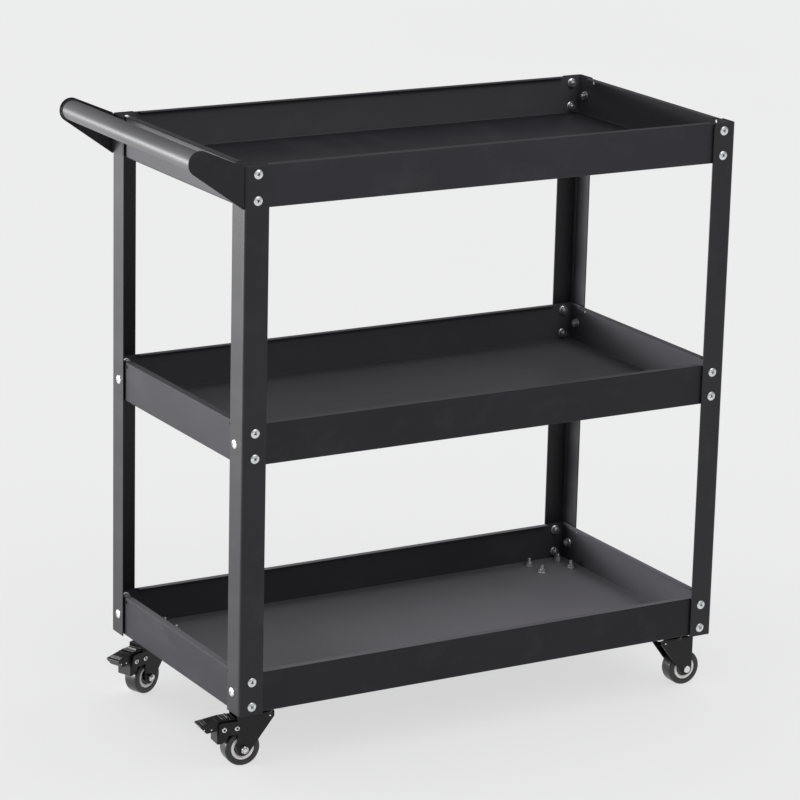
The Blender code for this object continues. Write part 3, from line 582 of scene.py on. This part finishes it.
def screw_mesh(length, head=SCREW_HEAD_RADIUS, height=SCREW_HEAD_HEIGHT):
    """A pan head with a cross recess on a threaded shank; the head's seat is at z = 0."""
    dome = [(head * sin(turn), height * 0.42 + height * 0.58 * cos(turn))
            for turn in (radians(7 * step) for step in range(1, 13))]
    profile = [(0, height), *dome, (head, height * 0.30), (head, height * 0.08), (head * 0.96, 0),
               (SCREW_RADIUS, 0), *thread(-0.0004, -length + 0.0006, SCREW_RADIUS),
               (SCREW_RADIUS - THREAD_DEPTH * 1.6, -length), (0, -length)]
    body = lathe(profile, 40)
    slots = []
    wide, thin, deep = head * 0.56, head * 0.125, height * 0.62
    for turn in (0, pi / 2):
        slot = box_mesh((-wide, -thin, height - deep), (wide, thin, height * 1.2))
        for vert in slot.vertices:
            if vert.co.z < height:
                vert.co.x *= 0.42
                vert.co.y *= 0.62
        slot.transform(Matrix.Rotation(turn, 4, "Z"))
        slots.append(slot)
    core = lathe([(0, height * 1.2), (head * 0.30, height * 1.2), (head * 0.15, height - deep),
                  (0, height - deep)], 24)
    return combined(body, [*slots, core])


def hex_radius(flats):
    """Radius of a hexagon whose corners are chamfered at the top."""
    def at(radius, _, turn):
        off = (turn + pi / 6) % (pi / 3) - pi / 6
        return min(radius, flats / 2 / cos(off))
    return at


def nut_mesh(height=NUT_HEIGHT, flats=NUT_FLATS, flange=NUT_FLANGE):
    """A hex nut on a thin flange; it sits on z = 0, open at the top."""
    corner = flats / 2 / cos(pi / 6)
    bore = SCREW_RADIUS + 0.00012
    profile = [(bore, 0), (corner, 0), (corner, height - 0.0011), (corner * 0.96, height - 0.0006),
               (corner * 0.90, height - 0.0002), (corner * 0.84, height), (bore + 0.0006, height),
               (bore, height - 0.0006)]
    nut = lathe(profile, 48, ring=True, radius_at=hex_radius(flats))
    skirt = lathe([(corner * 0.80, 0.0016), (flange - 0.0008, 0.0010), (flange, 0.0006), (flange, 0.0001),
                   (flange - 0.0002, 0), (corner * 0.80, 0)], 48, ring=True)
    return gather([(nut, Matrix()), (skirt, Matrix())])


def make_side_screws():
    """Two screws with nuts at every corner of every tray, through the long sides."""
    screw, nut = screw_mesh(WALL + GAP + NUT_HEIGHT + SCREW_TAIL), nut_mesh()
    for level in LEVELS:
        low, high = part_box("tray_" + level)
        heights = (high.z - SIDE_SCREW_MARGIN, low.z + SIDE_SCREW_MARGIN)
        screws, nuts = [], []
        for index, (sx, sy) in enumerate(CORNERS.values()):
            for step, z in enumerate(heights):
                x = END_X[sx] - sx * SIDE_SCREW_INSET
                spin = 0.35 + 1.3 * index + 0.8 * step + len(level)
                screws.append((screw, facing((x, SIDE_Y[sy] + sy * GAP / 2, z), (0, sy, 0), spin)))
                nuts.append((nut, facing((x, SIDE_Y[sy] - sy * (WALL + GAP / 2), z), (0, -sy, 0), spin * 2)))
        piece("side_screws_" + level, gather(screws), ZINC, "cart_frame", "zinc_screw")
        piece("side_nuts_" + level, gather(nuts), ZINC, "cart_frame", "zinc_screw")


def make_end_screws():
    """One screw with a nut at every corner of every tray, through the short sides."""
    nut = nut_mesh()
    for level in LEVELS:
        screws, nuts = [], []
        for index, (corner, (sx, sy)) in enumerate(CORNERS.items()):
            low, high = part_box("end_screw_" + level + "_" + corner)
            y, z = (low.y + high.y) / 2, (low.z + high.z) / 2
            seat = (high.x if sx > 0 else low.x) - sx * SCREW_HEAD_HEIGHT
            wall = WALL + abs(seat - END_X[sx])
            spin = 0.9 + 1.1 * index + len(level)
            screw = screw_mesh(wall + GAP + NUT_HEIGHT + SCREW_TAIL)
            screws.append((screw, facing((seat, y, z), (sx, 0, 0), spin)))
            nuts.append((nut, facing((seat - sx * (wall + GAP / 2), y, z), (-sx, 0, 0), spin * 2)))
        names = ["end_screw_" + level + "_" + corner for corner in CORNERS]
        piece("end_screws_" + level, gather(screws), ZINC, "cart_frame", "zinc_screw", replaces=names)
        piece("end_nuts_" + level, gather(nuts), ZINC, "cart_frame", "zinc_screw")


# ---------------------------------------------------------------- trays, posts and handle
def make_tray(level):
    """A folded tray, lofted ring by ring from its floor over its rim.

    The lip is cut back at the posts, and each short side has a small hole beside each post.
    """
    low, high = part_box("tray_" + level)
    depth = high.z - low.z
    centre = (low + high) / 2
    inner = TRAY_FOLD - TRAY_SHEET
    profile = [(TRAY_FOLD * 4, 0)]
    profile += [(TRAY_FOLD - TRAY_FOLD * sin(a), TRAY_FOLD - TRAY_FOLD * cos(a)) for a in quarter(15)]
    profile += [(RIM_FOLD - RIM_FOLD * cos(a), depth - RIM_FOLD + RIM_FOLD * sin(a)) for a in quarter(15)]
    lip_in = RIM_FOLD - TRAY_SHEET
    profile += [(LIP_WIDTH - 0.0002, depth), (LIP_WIDTH, depth - 0.0002),
                (LIP_WIDTH, depth - TRAY_SHEET + 0.0002), (LIP_WIDTH - 0.0002, depth - TRAY_SHEET)]
    profile += [(RIM_FOLD - lip_in * sin(a), depth - RIM_FOLD + lip_in * cos(a)) for a in quarter(45)]
    profile += [(TRAY_FOLD - inner * cos(a), TRAY_FOLD - inner * sin(a)) for a in quarter(15)]
    profile += [(TRAY_FOLD * 4, TRAY_SHEET)]

    bm = bmesh.new()
    rows = []
    for inset, z in profile:
        radius = max(TRAY_FOLD - inset, 0.0004)
        ring = rounded_box((high.x - low.x) / 2 - inset, (high.y - low.y) / 2 - inset, radius, 6)
        rows.append([bm.verts.new((centre.x + x, centre.y + y, low.z + z)) for x, y in ring])
    count = len(rows[0])
    for first, second in zip(rows, rows[1:]):
        for step in range(count):
            after = (step + 1) % count
            bm.faces.new((first[step], first[after], second[after], second[step]))
    bm.faces.new(rows[0][::-1])
    bm.faces.new(rows[-1])
    mesh = mesh_of(bm)

    cuts = []
    reach = POST_LEG + LIP_RELIEF
    for sx, sy in CORNERS.values():
        first = (END_X[sx] - sx * WALL, SIDE_Y[sy] - sy * WALL, low.z + depth / 2)
        last = (END_X[sx] - sx * reach, SIDE_Y[sy] - sy * reach, high.z + 0.01)
        ends = list(zip(first, last))
        cuts.append(box_mesh([min(pair) for pair in ends], [max(pair) for pair in ends]))
        hole = lathe([(0, 0.006), (END_HOLE_RADIUS, 0.006), (END_HOLE_RADIUS, -0.006), (0, -0.006)], 24)
        at = (END_X[sx] - sx * WALL, SIDE_Y[sy] - sy * END_HOLE_INSET, high.z - END_HOLE_DROP)
        hole.transform(facing(at, (sx, 0, 0)))
        cuts.append(hole)
    piece("folded_tray_" + level, combined(mesh, cuts), TRAY_COATS_WITH_PAINTED_LIGHT[level], "cart_frame", "tray_coat",
          replaces=["tray_" + level], sharp=35)


def make_post(corner):
    """An angle post: one sheet folded along the cart's corner, its flanges rounded at the top."""
    sx, sy = CORNERS[corner]
    path = [(POST_LEG - POST_CORNER * (1 - cos(a)), POST_CORNER * (1 - sin(a))) for a in quarter(10)]
    flange = [(along, 0.0, drop) for along, drop in path]
    fold = [(POST_FOLD - POST_FOLD * sin(a), POST_FOLD - POST_FOLD * cos(a), 0.0) for a in quarter(10)]
    other = [(across, along, drop) for along, across, drop in flange[::-1]]
    rows = []
    for x, y, drop in flange + fold + other:
        place = (END_X[sx] - sx * x, SIDE_Y[sy] - sy * y)
        rows.append([(*place, POST_BOTTOM), (*place, POST_TOP - drop)])
    mesh = sheet_of(rows)
    if sx * sy < 0:
        mesh.flip_normals()
    mesh = thickened(mesh, POST_SHEET, 1.0)
    piece("angle_post_" + corner, mesh, POST_COAT, "cart_frame", "post_coat", replaces=["post_" + corner],
          edge=0.00028)


def make_handle():
    """The tube with its welds, between two brackets folded over the posts' end flanges."""
    low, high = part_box("handle_tube")
    axis = Vector(((low.x + high.x) / 2, 0, (low.z + high.z) / 2))
    half = high.y
    inner = HANDLE_RADIUS - 0.0015
    tube = lathe([(inner, half), (HANDLE_RADIUS - 0.0003, half), (HANDLE_RADIUS, half - 0.0003),
                  (HANDLE_RADIUS, 0), (HANDLE_RADIUS, 0.0003 - half), (HANDLE_RADIUS - 0.0003, -half),
                  (inner, -half)], 96, ring=True)
    piece("push_handle_tube", tube, TUBE_COAT, "cart_frame", "handle_coat", replaces=["handle_tube"],
          matrix=facing(axis, (0, 1, 0)))

    nose = HANDLE_RADIUS + BRACKET_MARGIN
    for side, sy in (("front", -1), ("back", 1)):
        b_low, b_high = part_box("handle_bracket_" + side)
        right = b_high.x
        outline = hull([(axis.x, axis.z, nose), (right, POST_TOP, 0), (right, b_low.z + BRACKET_TOE, 0),
                        (right - BRACKET_TOE, b_low.z + BRACKET_TOE, BRACKET_TOE)], 96)
        start = right - BRACKET_FOLD
        band = [(z, x) for x, z in outline]
        at_fold = span_at(band, start)
        tab = (b_low.z + BRACKET_TOE, POST_TOP - POST_CORNER / 2)
        right_end = next(index for index, dot in enumerate(outline) if dot[0] >= start)
        kept = [dot for dot in outline[right_end:] + outline[:right_end] if dot[0] < start]
        bm = bmesh.new()
        y_face = SIDE_Y[sy]
        upper = bm.verts.new((start, y_face, at_fold[1]))
        lower = bm.verts.new((start, y_face, at_fold[0]))
        bm.faces.new([upper, *[bm.verts.new((x, y_face, z)) for x, z in kept], lower])
        columns = [(upper, lower)]
        rounding = 0.003
        for a in range(10, 91, 10):
            x = start + BRACKET_FOLD * sin(radians(a))
            y = y_face - sy * (BRACKET_FOLD * (1 - cos(radians(a))))
            columns.append((bm.verts.new((x, y, at_fold[1] + (tab[1] - at_fold[1]) * (a / 90))),
                            bm.verts.new((x, y, at_fold[0] + (tab[0] - at_fold[0]) * (a / 90)))))
        for a in quarter(15):
            across = BRACKET_TAB - rounding * (1 - sin(a))
            drop = rounding * (1 - cos(a))
            columns.append((bm.verts.new((right, y_face - sy * across, tab[1] - drop)),
                            bm.verts.new((right, y_face - sy * across, tab[0] + drop))))
        for (a_up, a_low), (b_up, b_low_vert) in zip(columns, columns[1:]):
            bm.faces.new((a_up, a_low, b_low_vert, b_up))
        bmesh.ops.recalc_face_normals(bm, faces=bm.faces)
        front = next(face for face in bm.faces if len(face.verts) > 6)
        if front.normal.y * sy < 0:
            bmesh.ops.reverse_faces(bm, faces=bm.faces)
        mesh = bpy.data.meshes.new("bracket")
        bm.to_mesh(mesh)
        bm.free()
        mesh = thickened(mesh, BRACKET_SHEET, -1.0)
        piece("folded_bracket_" + side, mesh, BRACKET_COAT, "cart_frame", "handle_coat",
              replaces=["handle_bracket_" + side], edge=0.00025)
        make_weld("handle_weld_" + side, axis + Vector((0, sy * half, 0)), sy)


def make_weld(name, at, sy):
    """A painted weld bead round the tube's end, rippled where the pool froze."""
    bm = bmesh.new()
    around, across = 180, 10
    rows = []
    for step in range(around):
        turn = 2 * pi * step / around
        wobble = 1 + 0.16 * sin(turn * 46) + 0.14 * noise.noise(Vector((3 * cos(turn), 3 * sin(turn), sy)))
        row = []
        for part in range(across):
            angle = 2 * pi * part / across
            reach = HANDLE_RADIUS + 0.0002 + WELD_RADIUS * wobble * cos(angle)
            y = at.y - sy * (0.0004 - WELD_RADIUS * wobble * sin(angle))
            row.append(bm.verts.new((at.x + reach * cos(turn), y, at.z + reach * sin(turn))))
        rows.append(row)
    for step in range(around):
        first, second = rows[step], rows[(step + 1) % around]
        for part in range(across):
            after = (part + 1) % across
            bm.faces.new((first[part], first[after], second[after], second[part]))
    for vert in bm.verts:
        limit = SIDE_Y[sy] - sy * (BRACKET_SHEET + 0.00005)
        if (vert.co.y - limit) * sy > 0:
            vert.co.y = limit
    piece(name, mesh_of(bm), BRACKET_COAT, "cart_frame", "handle_coat", sharp=60)


# ---------------------------------------------------------------- casters
# Each caster is laid out from its swivel axis at the top of its plate: X along the trail, Z up.
JOINTS = {joint["name"]: joint for joint in frame["record"]["behaviour"]["joints"]}


class Caster:
    """Where one caster is, and its main places in its own frame."""

    def __init__(self, corner):
        self.corner = corner
        self.braked = corner in BRAKED
        self.hub = Vector(JOINTS["swivel_turn_" + corner]["pos_m"])
        axle = Vector(JOINTS["wheel_roll_" + corner]["pos_m"]) - self.hub
        self.mount = Matrix.Translation(self.hub)
        self.swivel = self.mount @ Matrix.Rotation(atan2(axle.y, axle.x), 4, "Z")
        self.axle = Vector((hypot(axle.x, axle.y), 0, axle.z))
        self.radius = self.hub.z + axle.z
        self.fork_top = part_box("caster_fork_" + corner)[1].z - self.hub.z
        if self.braked:
            pivot = Vector(JOINTS["brake_pedal_" + corner]["pos_m"]) - self.hub
            self.pivot = Vector((hypot(pivot.x, pivot.y), 0, pivot.z))
            rivet_low, rivet_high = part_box("brake_rivet_" + corner)
            rivet = (rivet_low + rivet_high) / 2 - self.hub
            self.rivet = Vector((hypot(rivet.x, rivet.y), 0, rivet.z))

    def add(self, name, mesh, material, body, slot, node=None, at=None, **more):
        """Adds a shape in this caster's frame, standing for the CAD node if one is named."""
        frame_of = self.mount if body == "cart_frame" else self.swivel
        turn = at if at is not None else Matrix()
        body = body if body == "cart_frame" else body + "_" + self.corner
        nodes = [node + "_" + self.corner] if node else []
        return piece(name + "_" + self.corner, mesh, material, body, slot, replaces=nodes,
                     matrix=frame_of @ turn, **more)


FLAT = Matrix.Rotation(-pi / 2, 4, "X")


def make_mount(caster):
    """What stays with the cart: plate, upper race, balls, kingpin, and the bolts through the bottom tray."""
    half_x, half_y = BOLT_SPACING[0] / 2, BOLT_SPACING[1] / 2
    plate = slab(rounded_box(half_x + PLATE_MARGIN, half_y + PLATE_MARGIN, PLATE_CORNER, 10), PLATE_SHEET)
    caster.add("mounting_plate", plate, FORK_BLACK, "cart_frame", "caster_steel", "caster_plate",
               Matrix.Translation((0, 0, -PLATE_SHEET / 2)) @ FLAT, edge=0.0003)
    under = -PLATE_SHEET
    cup = lathe([(0.0125, under + 0.0002), (0.0200, under + 0.0002), (0.0198, under - 0.0008),
                 (0.0189, under - 0.0016), (0.0176, under - 0.0020), (0.0168, under - 0.0017),
                 (0.0163, under - 0.0009), (0.0125, under - 0.0005)], 72, ring=True)
    caster.add("upper_race", cup, FORK_BLACK, "cart_frame", "caster_steel")
    middle = (under + caster.fork_top) / 2
    count = int(2 * pi * RACE_RADIUS / (2.15 * BALL_RADIUS))
    bm = bmesh.new()
    bmesh.ops.create_uvsphere(bm, u_segments=14, v_segments=10, radius=BALL_RADIUS)
    ball = mesh_of(bm)
    out = Matrix.Translation((RACE_RADIUS, 0, middle))
    ring = [(ball, Matrix.Rotation(2 * pi * step / count, 4, "Z") @ out) for step in range(count)]
    caster.add("ball_ring", gather(ring), BALL_STEEL, "cart_frame", "race_steel", "ball_race")

    under_fork = caster.fork_top - 0.0030 - GAP
    pin = lathe([(0, -GAP), (KINGPIN_RADIUS, -GAP), (KINGPIN_RADIUS, under_fork), (KINGPIN_HEAD, under_fork),
                 (KINGPIN_HEAD, under_fork - 0.0012), (KINGPIN_HEAD * 0.85, under_fork - 0.0026),
                 (KINGPIN_HEAD * 0.5, under_fork - 0.0037), (0, under_fork - 0.0040)], 48)
    caster.add("swivel_kingpin", pin, NICKEL, "cart_frame", "bright_steel", "kingpin", edge=0.0002)

    floor = TRAY_SHEET + GAP
    length = PLATE_SHEET + floor + 2 * GAP + NUT_HEIGHT + BOLT_TAIL
    bolt, nut = screw_mesh(length, BOLT_HEAD_RADIUS, BOLT_HEAD_HEIGHT), nut_mesh()
    bolts, nuts = [], []
    for index, (sx, sy) in enumerate(CORNERS.values()):
        at = Vector((sx * half_x, sy * half_y, 0))
        bolts.append((bolt, facing(at + Vector((0, 0, under - GAP / 2)), (0, 0, -1), 0.7 * index + 0.3)))
        nuts.append((nut, facing(at + Vector((0, 0, floor)), (0, 0, 1), 0.9 * index + caster.hub.x * 7)))
    caster.add("plate_bolts", gather(bolts), ZINC, "cart_frame", "zinc_screw")
    caster.add("plate_nuts", gather(nuts), ZINC, "cart_frame", "zinc_screw")


def fork_bands(caster):
    """The cheek's outline, and the ear's where there is a brake, as (x, z) bands."""
    top, axle = caster.fork_top, caster.axle
    corner = 0.0026
    bands = [hull([(-FORK_NOSE, top, 0), (-FORK_NOSE + corner, top - FORK_NOSE_DEPTH + corner, corner),
                   (FORK_HEEL, top, 0), (FORK_HEEL, top - FORK_HEEL_DEPTH, 0), (axle.x, axle.z, FORK_TOE)])]
    if caster.braked:
        low, high = caster.pivot.z - EAR_BOTTOM, caster.pivot.z + EAR_TOP
        back, front, bend = caster.pivot.x + EAR_LENGTH, caster.rivet.x - EAR_LENGTH, EAR_CORNER
        bands.append(hull([(front, low, 0), (front, high, 0), (back - bend, high - bend, bend),
                           (back - bend, low + bend, bend)], 32))
    return bands


def make_fork(caster):
    """A pressed fork: one sheet folded over its crown into two cheeks."""
    bands = fork_bands(caster)
    top, half = caster.fork_top, FORK_OUTSIDE / 2
    nudge = 0.00002
    levels = {z for band in bands for _, z in band if z <= top - FORK_FOLD}
    levels |= {top - FORK_FOLD}
    if caster.braked:
        levels |= {max(z for _, z in bands[1]) + nudge, min(z for _, z in bands[1]) - nudge}
    lowest = min(levels)
    levels = sorted({round(max(z, lowest + nudge), 6) for z in levels})

    def reach(z):
        spans = [span for span in (span_at(band, z) for band in bands) if span]
        return min(span[0] for span in spans), max(span[1] for span in spans)

    path = [(half, z, z) for z in levels]
    path += [(half - FORK_FOLD * (1 - cos(a)), top - FORK_FOLD * (1 - sin(a)), top) for a in quarter(10, 10)]
    path += [(-y, z, at) for y, z, at in path[::-1]]
    rows = []
    for y, z, at in path:
        low, high = reach(min(at, z) if abs(y) < half else z)
        rows.append([(low, y, z), (high, y, z)])
    mesh = thickened(sheet_of(rows), FORK_SHEET, 1.0)
    caster.add("pressed_fork", mesh, FORK_BLACK, "swivel", "caster_steel", "caster_fork", edge=0.00035,
               sharp=40)

    crown = lathe([(KINGPIN_RADIUS + 0.0005, top + 0.0006), (0.0105, top + 0.0008), (0.0125, top + 0.0001),
                   (0.0175, top + 0.0001), (0.0190, top + 0.0013), (0.0202, top + 0.0012),
                   (0.0205, top + 0.0004), (0.0205, top - 0.0022), (KINGPIN_RADIUS + 0.0005, top - 0.0022)],
                  72, ring=True)
    caster.add("lower_race", crown, FORK_BLACK, "swivel", "caster_steel")

    # A small nickel knob on each cheek near the nose stands for a highlight on the race: a painted highlight,
    # made as a part.
    highlight_knob = lathe([(0, 0.0009), (0.0007, 0.00085), (0.0012, 0.0005), (0.0014, 0.0001), (0.0014, -0.0006),
                  (0, -0.0006)], 24)
    at = Vector((-FORK_NOSE + 0.0058, 0, top - 0.0058))
    highlight_knobs = [(highlight_knob, facing(at + Vector((0, side * (half + 0.0001), 0)), (0, side, 0))) for side in (-1, 1)]
    caster.add("fork_painted_highlights", gather(highlight_knobs), NICKEL, "swivel", "bright_steel")


def make_axle(caster):
    """The axle bolt's hex head on one cheek, and its nut on the other."""
    seat = FORK_OUTSIDE / 2 + GAP
    corner = AXLE_FLATS / 2 / cos(pi / 6)
    hexagon = hex_radius(AXLE_FLATS)
    head_top = seat + 0.0034
    head = lathe([(0, head_top), (corner * 0.80, head_top), (corner * 0.92, head_top - 0.0005),
                  (corner, head_top - 0.0011), (corner, seat), (0, seat)], 48, radius_at=hexagon)
    low = -seat - 0.0040
    shank = lathe([(0, seat + 0.0002), (AXLE_RADIUS, seat + 0.0002), (AXLE_RADIUS, -seat),
                   *thread(-seat, low - 0.0004, AXLE_RADIUS), (AXLE_RADIUS - 0.0008, low - 0.0008),
                   (0, low - 0.0008)], 40)
    turn = Matrix.Translation(caster.axle) @ Matrix.Rotation(pi / 2, 4, "X")
    caster.add("axle_hex_bolt", gather([(head, Matrix()), (shank, Matrix())]), NICKEL, "swivel",
               "bright_steel", "axle_bolt", turn, edge=0.00015)
    bore = AXLE_RADIUS + 0.0002
    nut = lathe([(bore, -seat), (corner, -seat), (corner, low + 0.0011), (corner * 0.92, low + 0.0005),
                 (corner * 0.80, low), (bore + 0.0005, low), (bore, low + 0.0005)], 48, ring=True,
                radius_at=hexagon)
    caster.add("axle_hex_nut", nut, NICKEL, "swivel", "bright_steel", "axle_nut", turn, edge=0.00015)


def mirrored(profile):
    """A turned profile for both ends of a wheel, from its outer half."""
    return profile + [(radius, -z) for radius, z in profile[::-1] if z > 0]


def make_wheel(caster):
    """Tread, pale rim, black hub caps and a steel hub sleeve."""
    radius, half = caster.radius, WHEEL_WIDTH / 2
    turn = Matrix.Translation(caster.axle) @ Matrix.Rotation(pi / 2, 4, "X")
    inner = RIM_RADIUS + GAP
    side = [(inner, half - 0.0004), (inner + 0.0004, half - 0.0001), (0.0192, half), (0.0197, half - 0.0003),
            (0.0200, half - 0.0003), (0.0204, half - 0.0001)]
    shoulder = 0.0030
    side += [(radius - shoulder + shoulder * sin(a) * 0.96, half - shoulder + shoulder * cos(a))
             for a in quarter(15, 15)]
    side += [(radius - 0.00003, half * 0.45), (radius, half * 0.2)]
    caster.add("moulded_tread", lathe(mirrored(side), 128, ring=True), TREAD_BLACK, "wheel", "wheel_tread",
               "wheel_tread", turn, sharp=50)
    face = [(AXLE_RADIUS + 0.0016, 0.0062), (0.0098, 0.0062), (0.0105, 0.0066), (0.0108, 0.0084),
            (0.0112, 0.0090), (0.0118, 0.0092), (0.0146, 0.0097), (0.0152, 0.0096), (RIM_RADIUS, 0.0091)]
    caster.add("wheel_rim", lathe(mirrored(face), 96, ring=True), RIM_GREY, "wheel", "wheel_core",
               "wheel_core", turn, sharp=50)
    cap = [(0.0046, 0.0086), (0.0052, 0.0090), (0.0070, 0.0088), (0.0090, 0.0080), (0.0098, 0.0073),
           (0.0103, 0.0066), (0.0103, 0.0060)]
    sleeve = [(AXLE_RADIUS + 0.0003, 0.0115), (0.0042, 0.0115), (0.0046, 0.0111), (0.0046, 0.0060)]
    caster.add("hub_caps", lathe(mirrored(cap), 64, ring=True), CAP_BLACK, "wheel", "wheel_core", None, turn)
    caster.add("hub_sleeve", lathe(mirrored(sleeve), 48, ring=True), BALL_STEEL, "wheel", "wheel_core", None,
               turn)


def make_rivet(caster, name, node, at):
    """A hollow rivet across the fork, its ends rolled over."""
    seat, bore, head = FORK_OUTSIDE / 2 + GAP, RIVET_BORE, RIVET_HEAD
    rise = 0.0011
    rolled = [(bore + 0.0001, seat), (bore, seat + rise * 0.5), (bore + 0.0003, seat + rise * 0.9),
              (bore + 0.0008, seat + rise), (head - 0.0007, seat + rise * 0.85),
              (head - 0.0001, seat + rise * 0.45), (head, seat), (0.0024, seat)]
    turn = Matrix.Translation(at) @ Matrix.Rotation(pi / 2, 4, "X")
    caster.add(name, lathe(mirrored(rolled), 40, ring=True), NICKEL, "swivel", "bright_steel", node, turn,
               sharp=60)


def make_lever(caster):
    """The brake lever: a hollow ridged pedal, an arm between the ears, and a shoe behind the wheel."""
    sheet, fold, width = 0.0016, 0.00144, 0.0210
    tip, brow = (0.0304 - fold, 0.0075 - fold), (0.0, 0.0117)
    lip, skirt, back_x = (0.0216, -0.0018), (0.0116, -0.0006), -0.0170
    outside = hull([(*tip, fold), (*brow, 0.0), (*lip, fold), (*skirt, fold), (back_x, brow[1], 0),
                    (back_x, brow[1] - 2 * sheet, 0)], 32)
    under = brow[1] - sheet
    along = (Vector(tip) - Vector(lip)).normalized()
    low, high = Vector(lip) - along * 5 * sheet, Vector(tip) - along * 2 * sheet
    hollow = [(-0.04, low.y), tuple(low), tuple(high), (brow[0] - sheet / 2, under), (-0.04, under)]
    cuts = [slab(hollow, width - 2 * sheet)]
    lever = combined(slab(outside, width), cuts)

    shoe_back, shoe_front, drop, boss = 0.0082, -0.0040, -0.0185, 0.0062
    arm = slab(hull([(0, 0, boss), (back_x + 0.006, under + sheet / 2, 0), (shoe_back, under + sheet / 2, 0),
                     (shoe_back - 0.001, drop, 0.001), (shoe_front, drop, 0.001)], 40), width)
    wheel = caster.pivot - caster.axle
    pressed = Matrix.Rotation(BRAKE_TURN, 2) @ Vector((-wheel.x, -wheel.z))
    face = lathe([(0, 0.04), (WHEEL_RADIUS + 0.0003, 0.04), (WHEEL_RADIUS + 0.0003, -0.04), (0, -0.04)], 96)
    face.transform(Matrix.Translation((pressed.x, 0, pressed.y)) @ Matrix.Rotation(pi / 2, 4, "X"))
    arm = combined(arm, [face])
    lever = combined(lever, [arm], "UNION")

    ridge = slab([(-0.0010, -0.0002), (0.0010, -0.0002), (0.0005, 0.0007), (-0.0005, 0.0007)], width - 0.0030)
    slope = atan2(brow[1] - tip[1] - fold, tip[0] - brow[0])
    parts = [(lever, Matrix())]
    for reach in (-0.0150, -0.0120, -0.0040, -0.0005, 0.0210, 0.0234, 0.0258):
        drop = max(reach, 0)
        at = Vector((reach - drop + drop * cos(slope), 0, brow[1] - drop * sin(slope)))
        parts.append((ridge, Matrix.Translation(at) @ Matrix.Rotation(slope if reach > 0 else 0, 4, "Y")))
    stop = slab([(-0.0020, -0.0002), (0.0020, -0.0002), (0.0012, 0.0019), (-0.0012, 0.0019)], width - 0.0060)
    parts.append((stop, Matrix.Translation((-0.0080, 0, brow[1]))))
    caster.add("brake_pedal", gather(parts), PEDAL_BLACK, "brake", "pedal_steel", "brake_lever",
               Matrix.Translation(caster.pivot), edge=0.0003, sharp=35)
    # Two small nickel knobs on each side of the pedal stand for two highlights on its rounded lip: painted
    # highlights, made as parts.
    dot = lathe([(0, 0.0005), (0.0007, 0.0004), (0.0010, 0.0001), (0.0010, -0.0004), (0, -0.0004)], 20)
    dots = [(dot, facing(Vector((x, side * width / 2, z)), (0, side, 0)))
            for side in (-1, 1) for x, z in ((0.0253, 0.0020), (0.0156, 0.0011))]
    caster.add("pedal_painted_highlights", gather(dots), NICKEL, "brake", "bright_steel", None,
               Matrix.Translation(caster.pivot))


def make_caster(corner):
    caster = Caster(corner)
    make_mount(caster)
    make_fork(caster)
    make_axle(caster)
    make_wheel(caster)
    if caster.braked:
        make_rivet(caster, "pivot_rivet", "brake_pivot_rivet", caster.pivot)
        make_rivet(caster, "stop_rivet", "brake_rivet", caster.rivet)
        make_lever(caster)


# ---------------------------------------------------------------- the whole cart
make_camera()
make_stage()
make_light("key_left", (-3.2, 1.5, 0.60), (-0.30, 0, 0.42), (3.0, 0.7), 250)
make_light("front_soft", (0.6, -2.6, 2.6), (0, 0, 0.4), (2.2, 1.4), 31)
make_light("top_soft", (0.2, 0.3, 3.2), (0, 0, 0.5), (2.4, 2.4), 16)

for tray_level in LEVELS:
    make_tray(tray_level)
for post_corner in CORNERS:
    make_post(post_corner)
make_handle()
make_side_screws()
make_end_screws()
for caster_corner in CORNERS:
    make_caster(caster_corner)
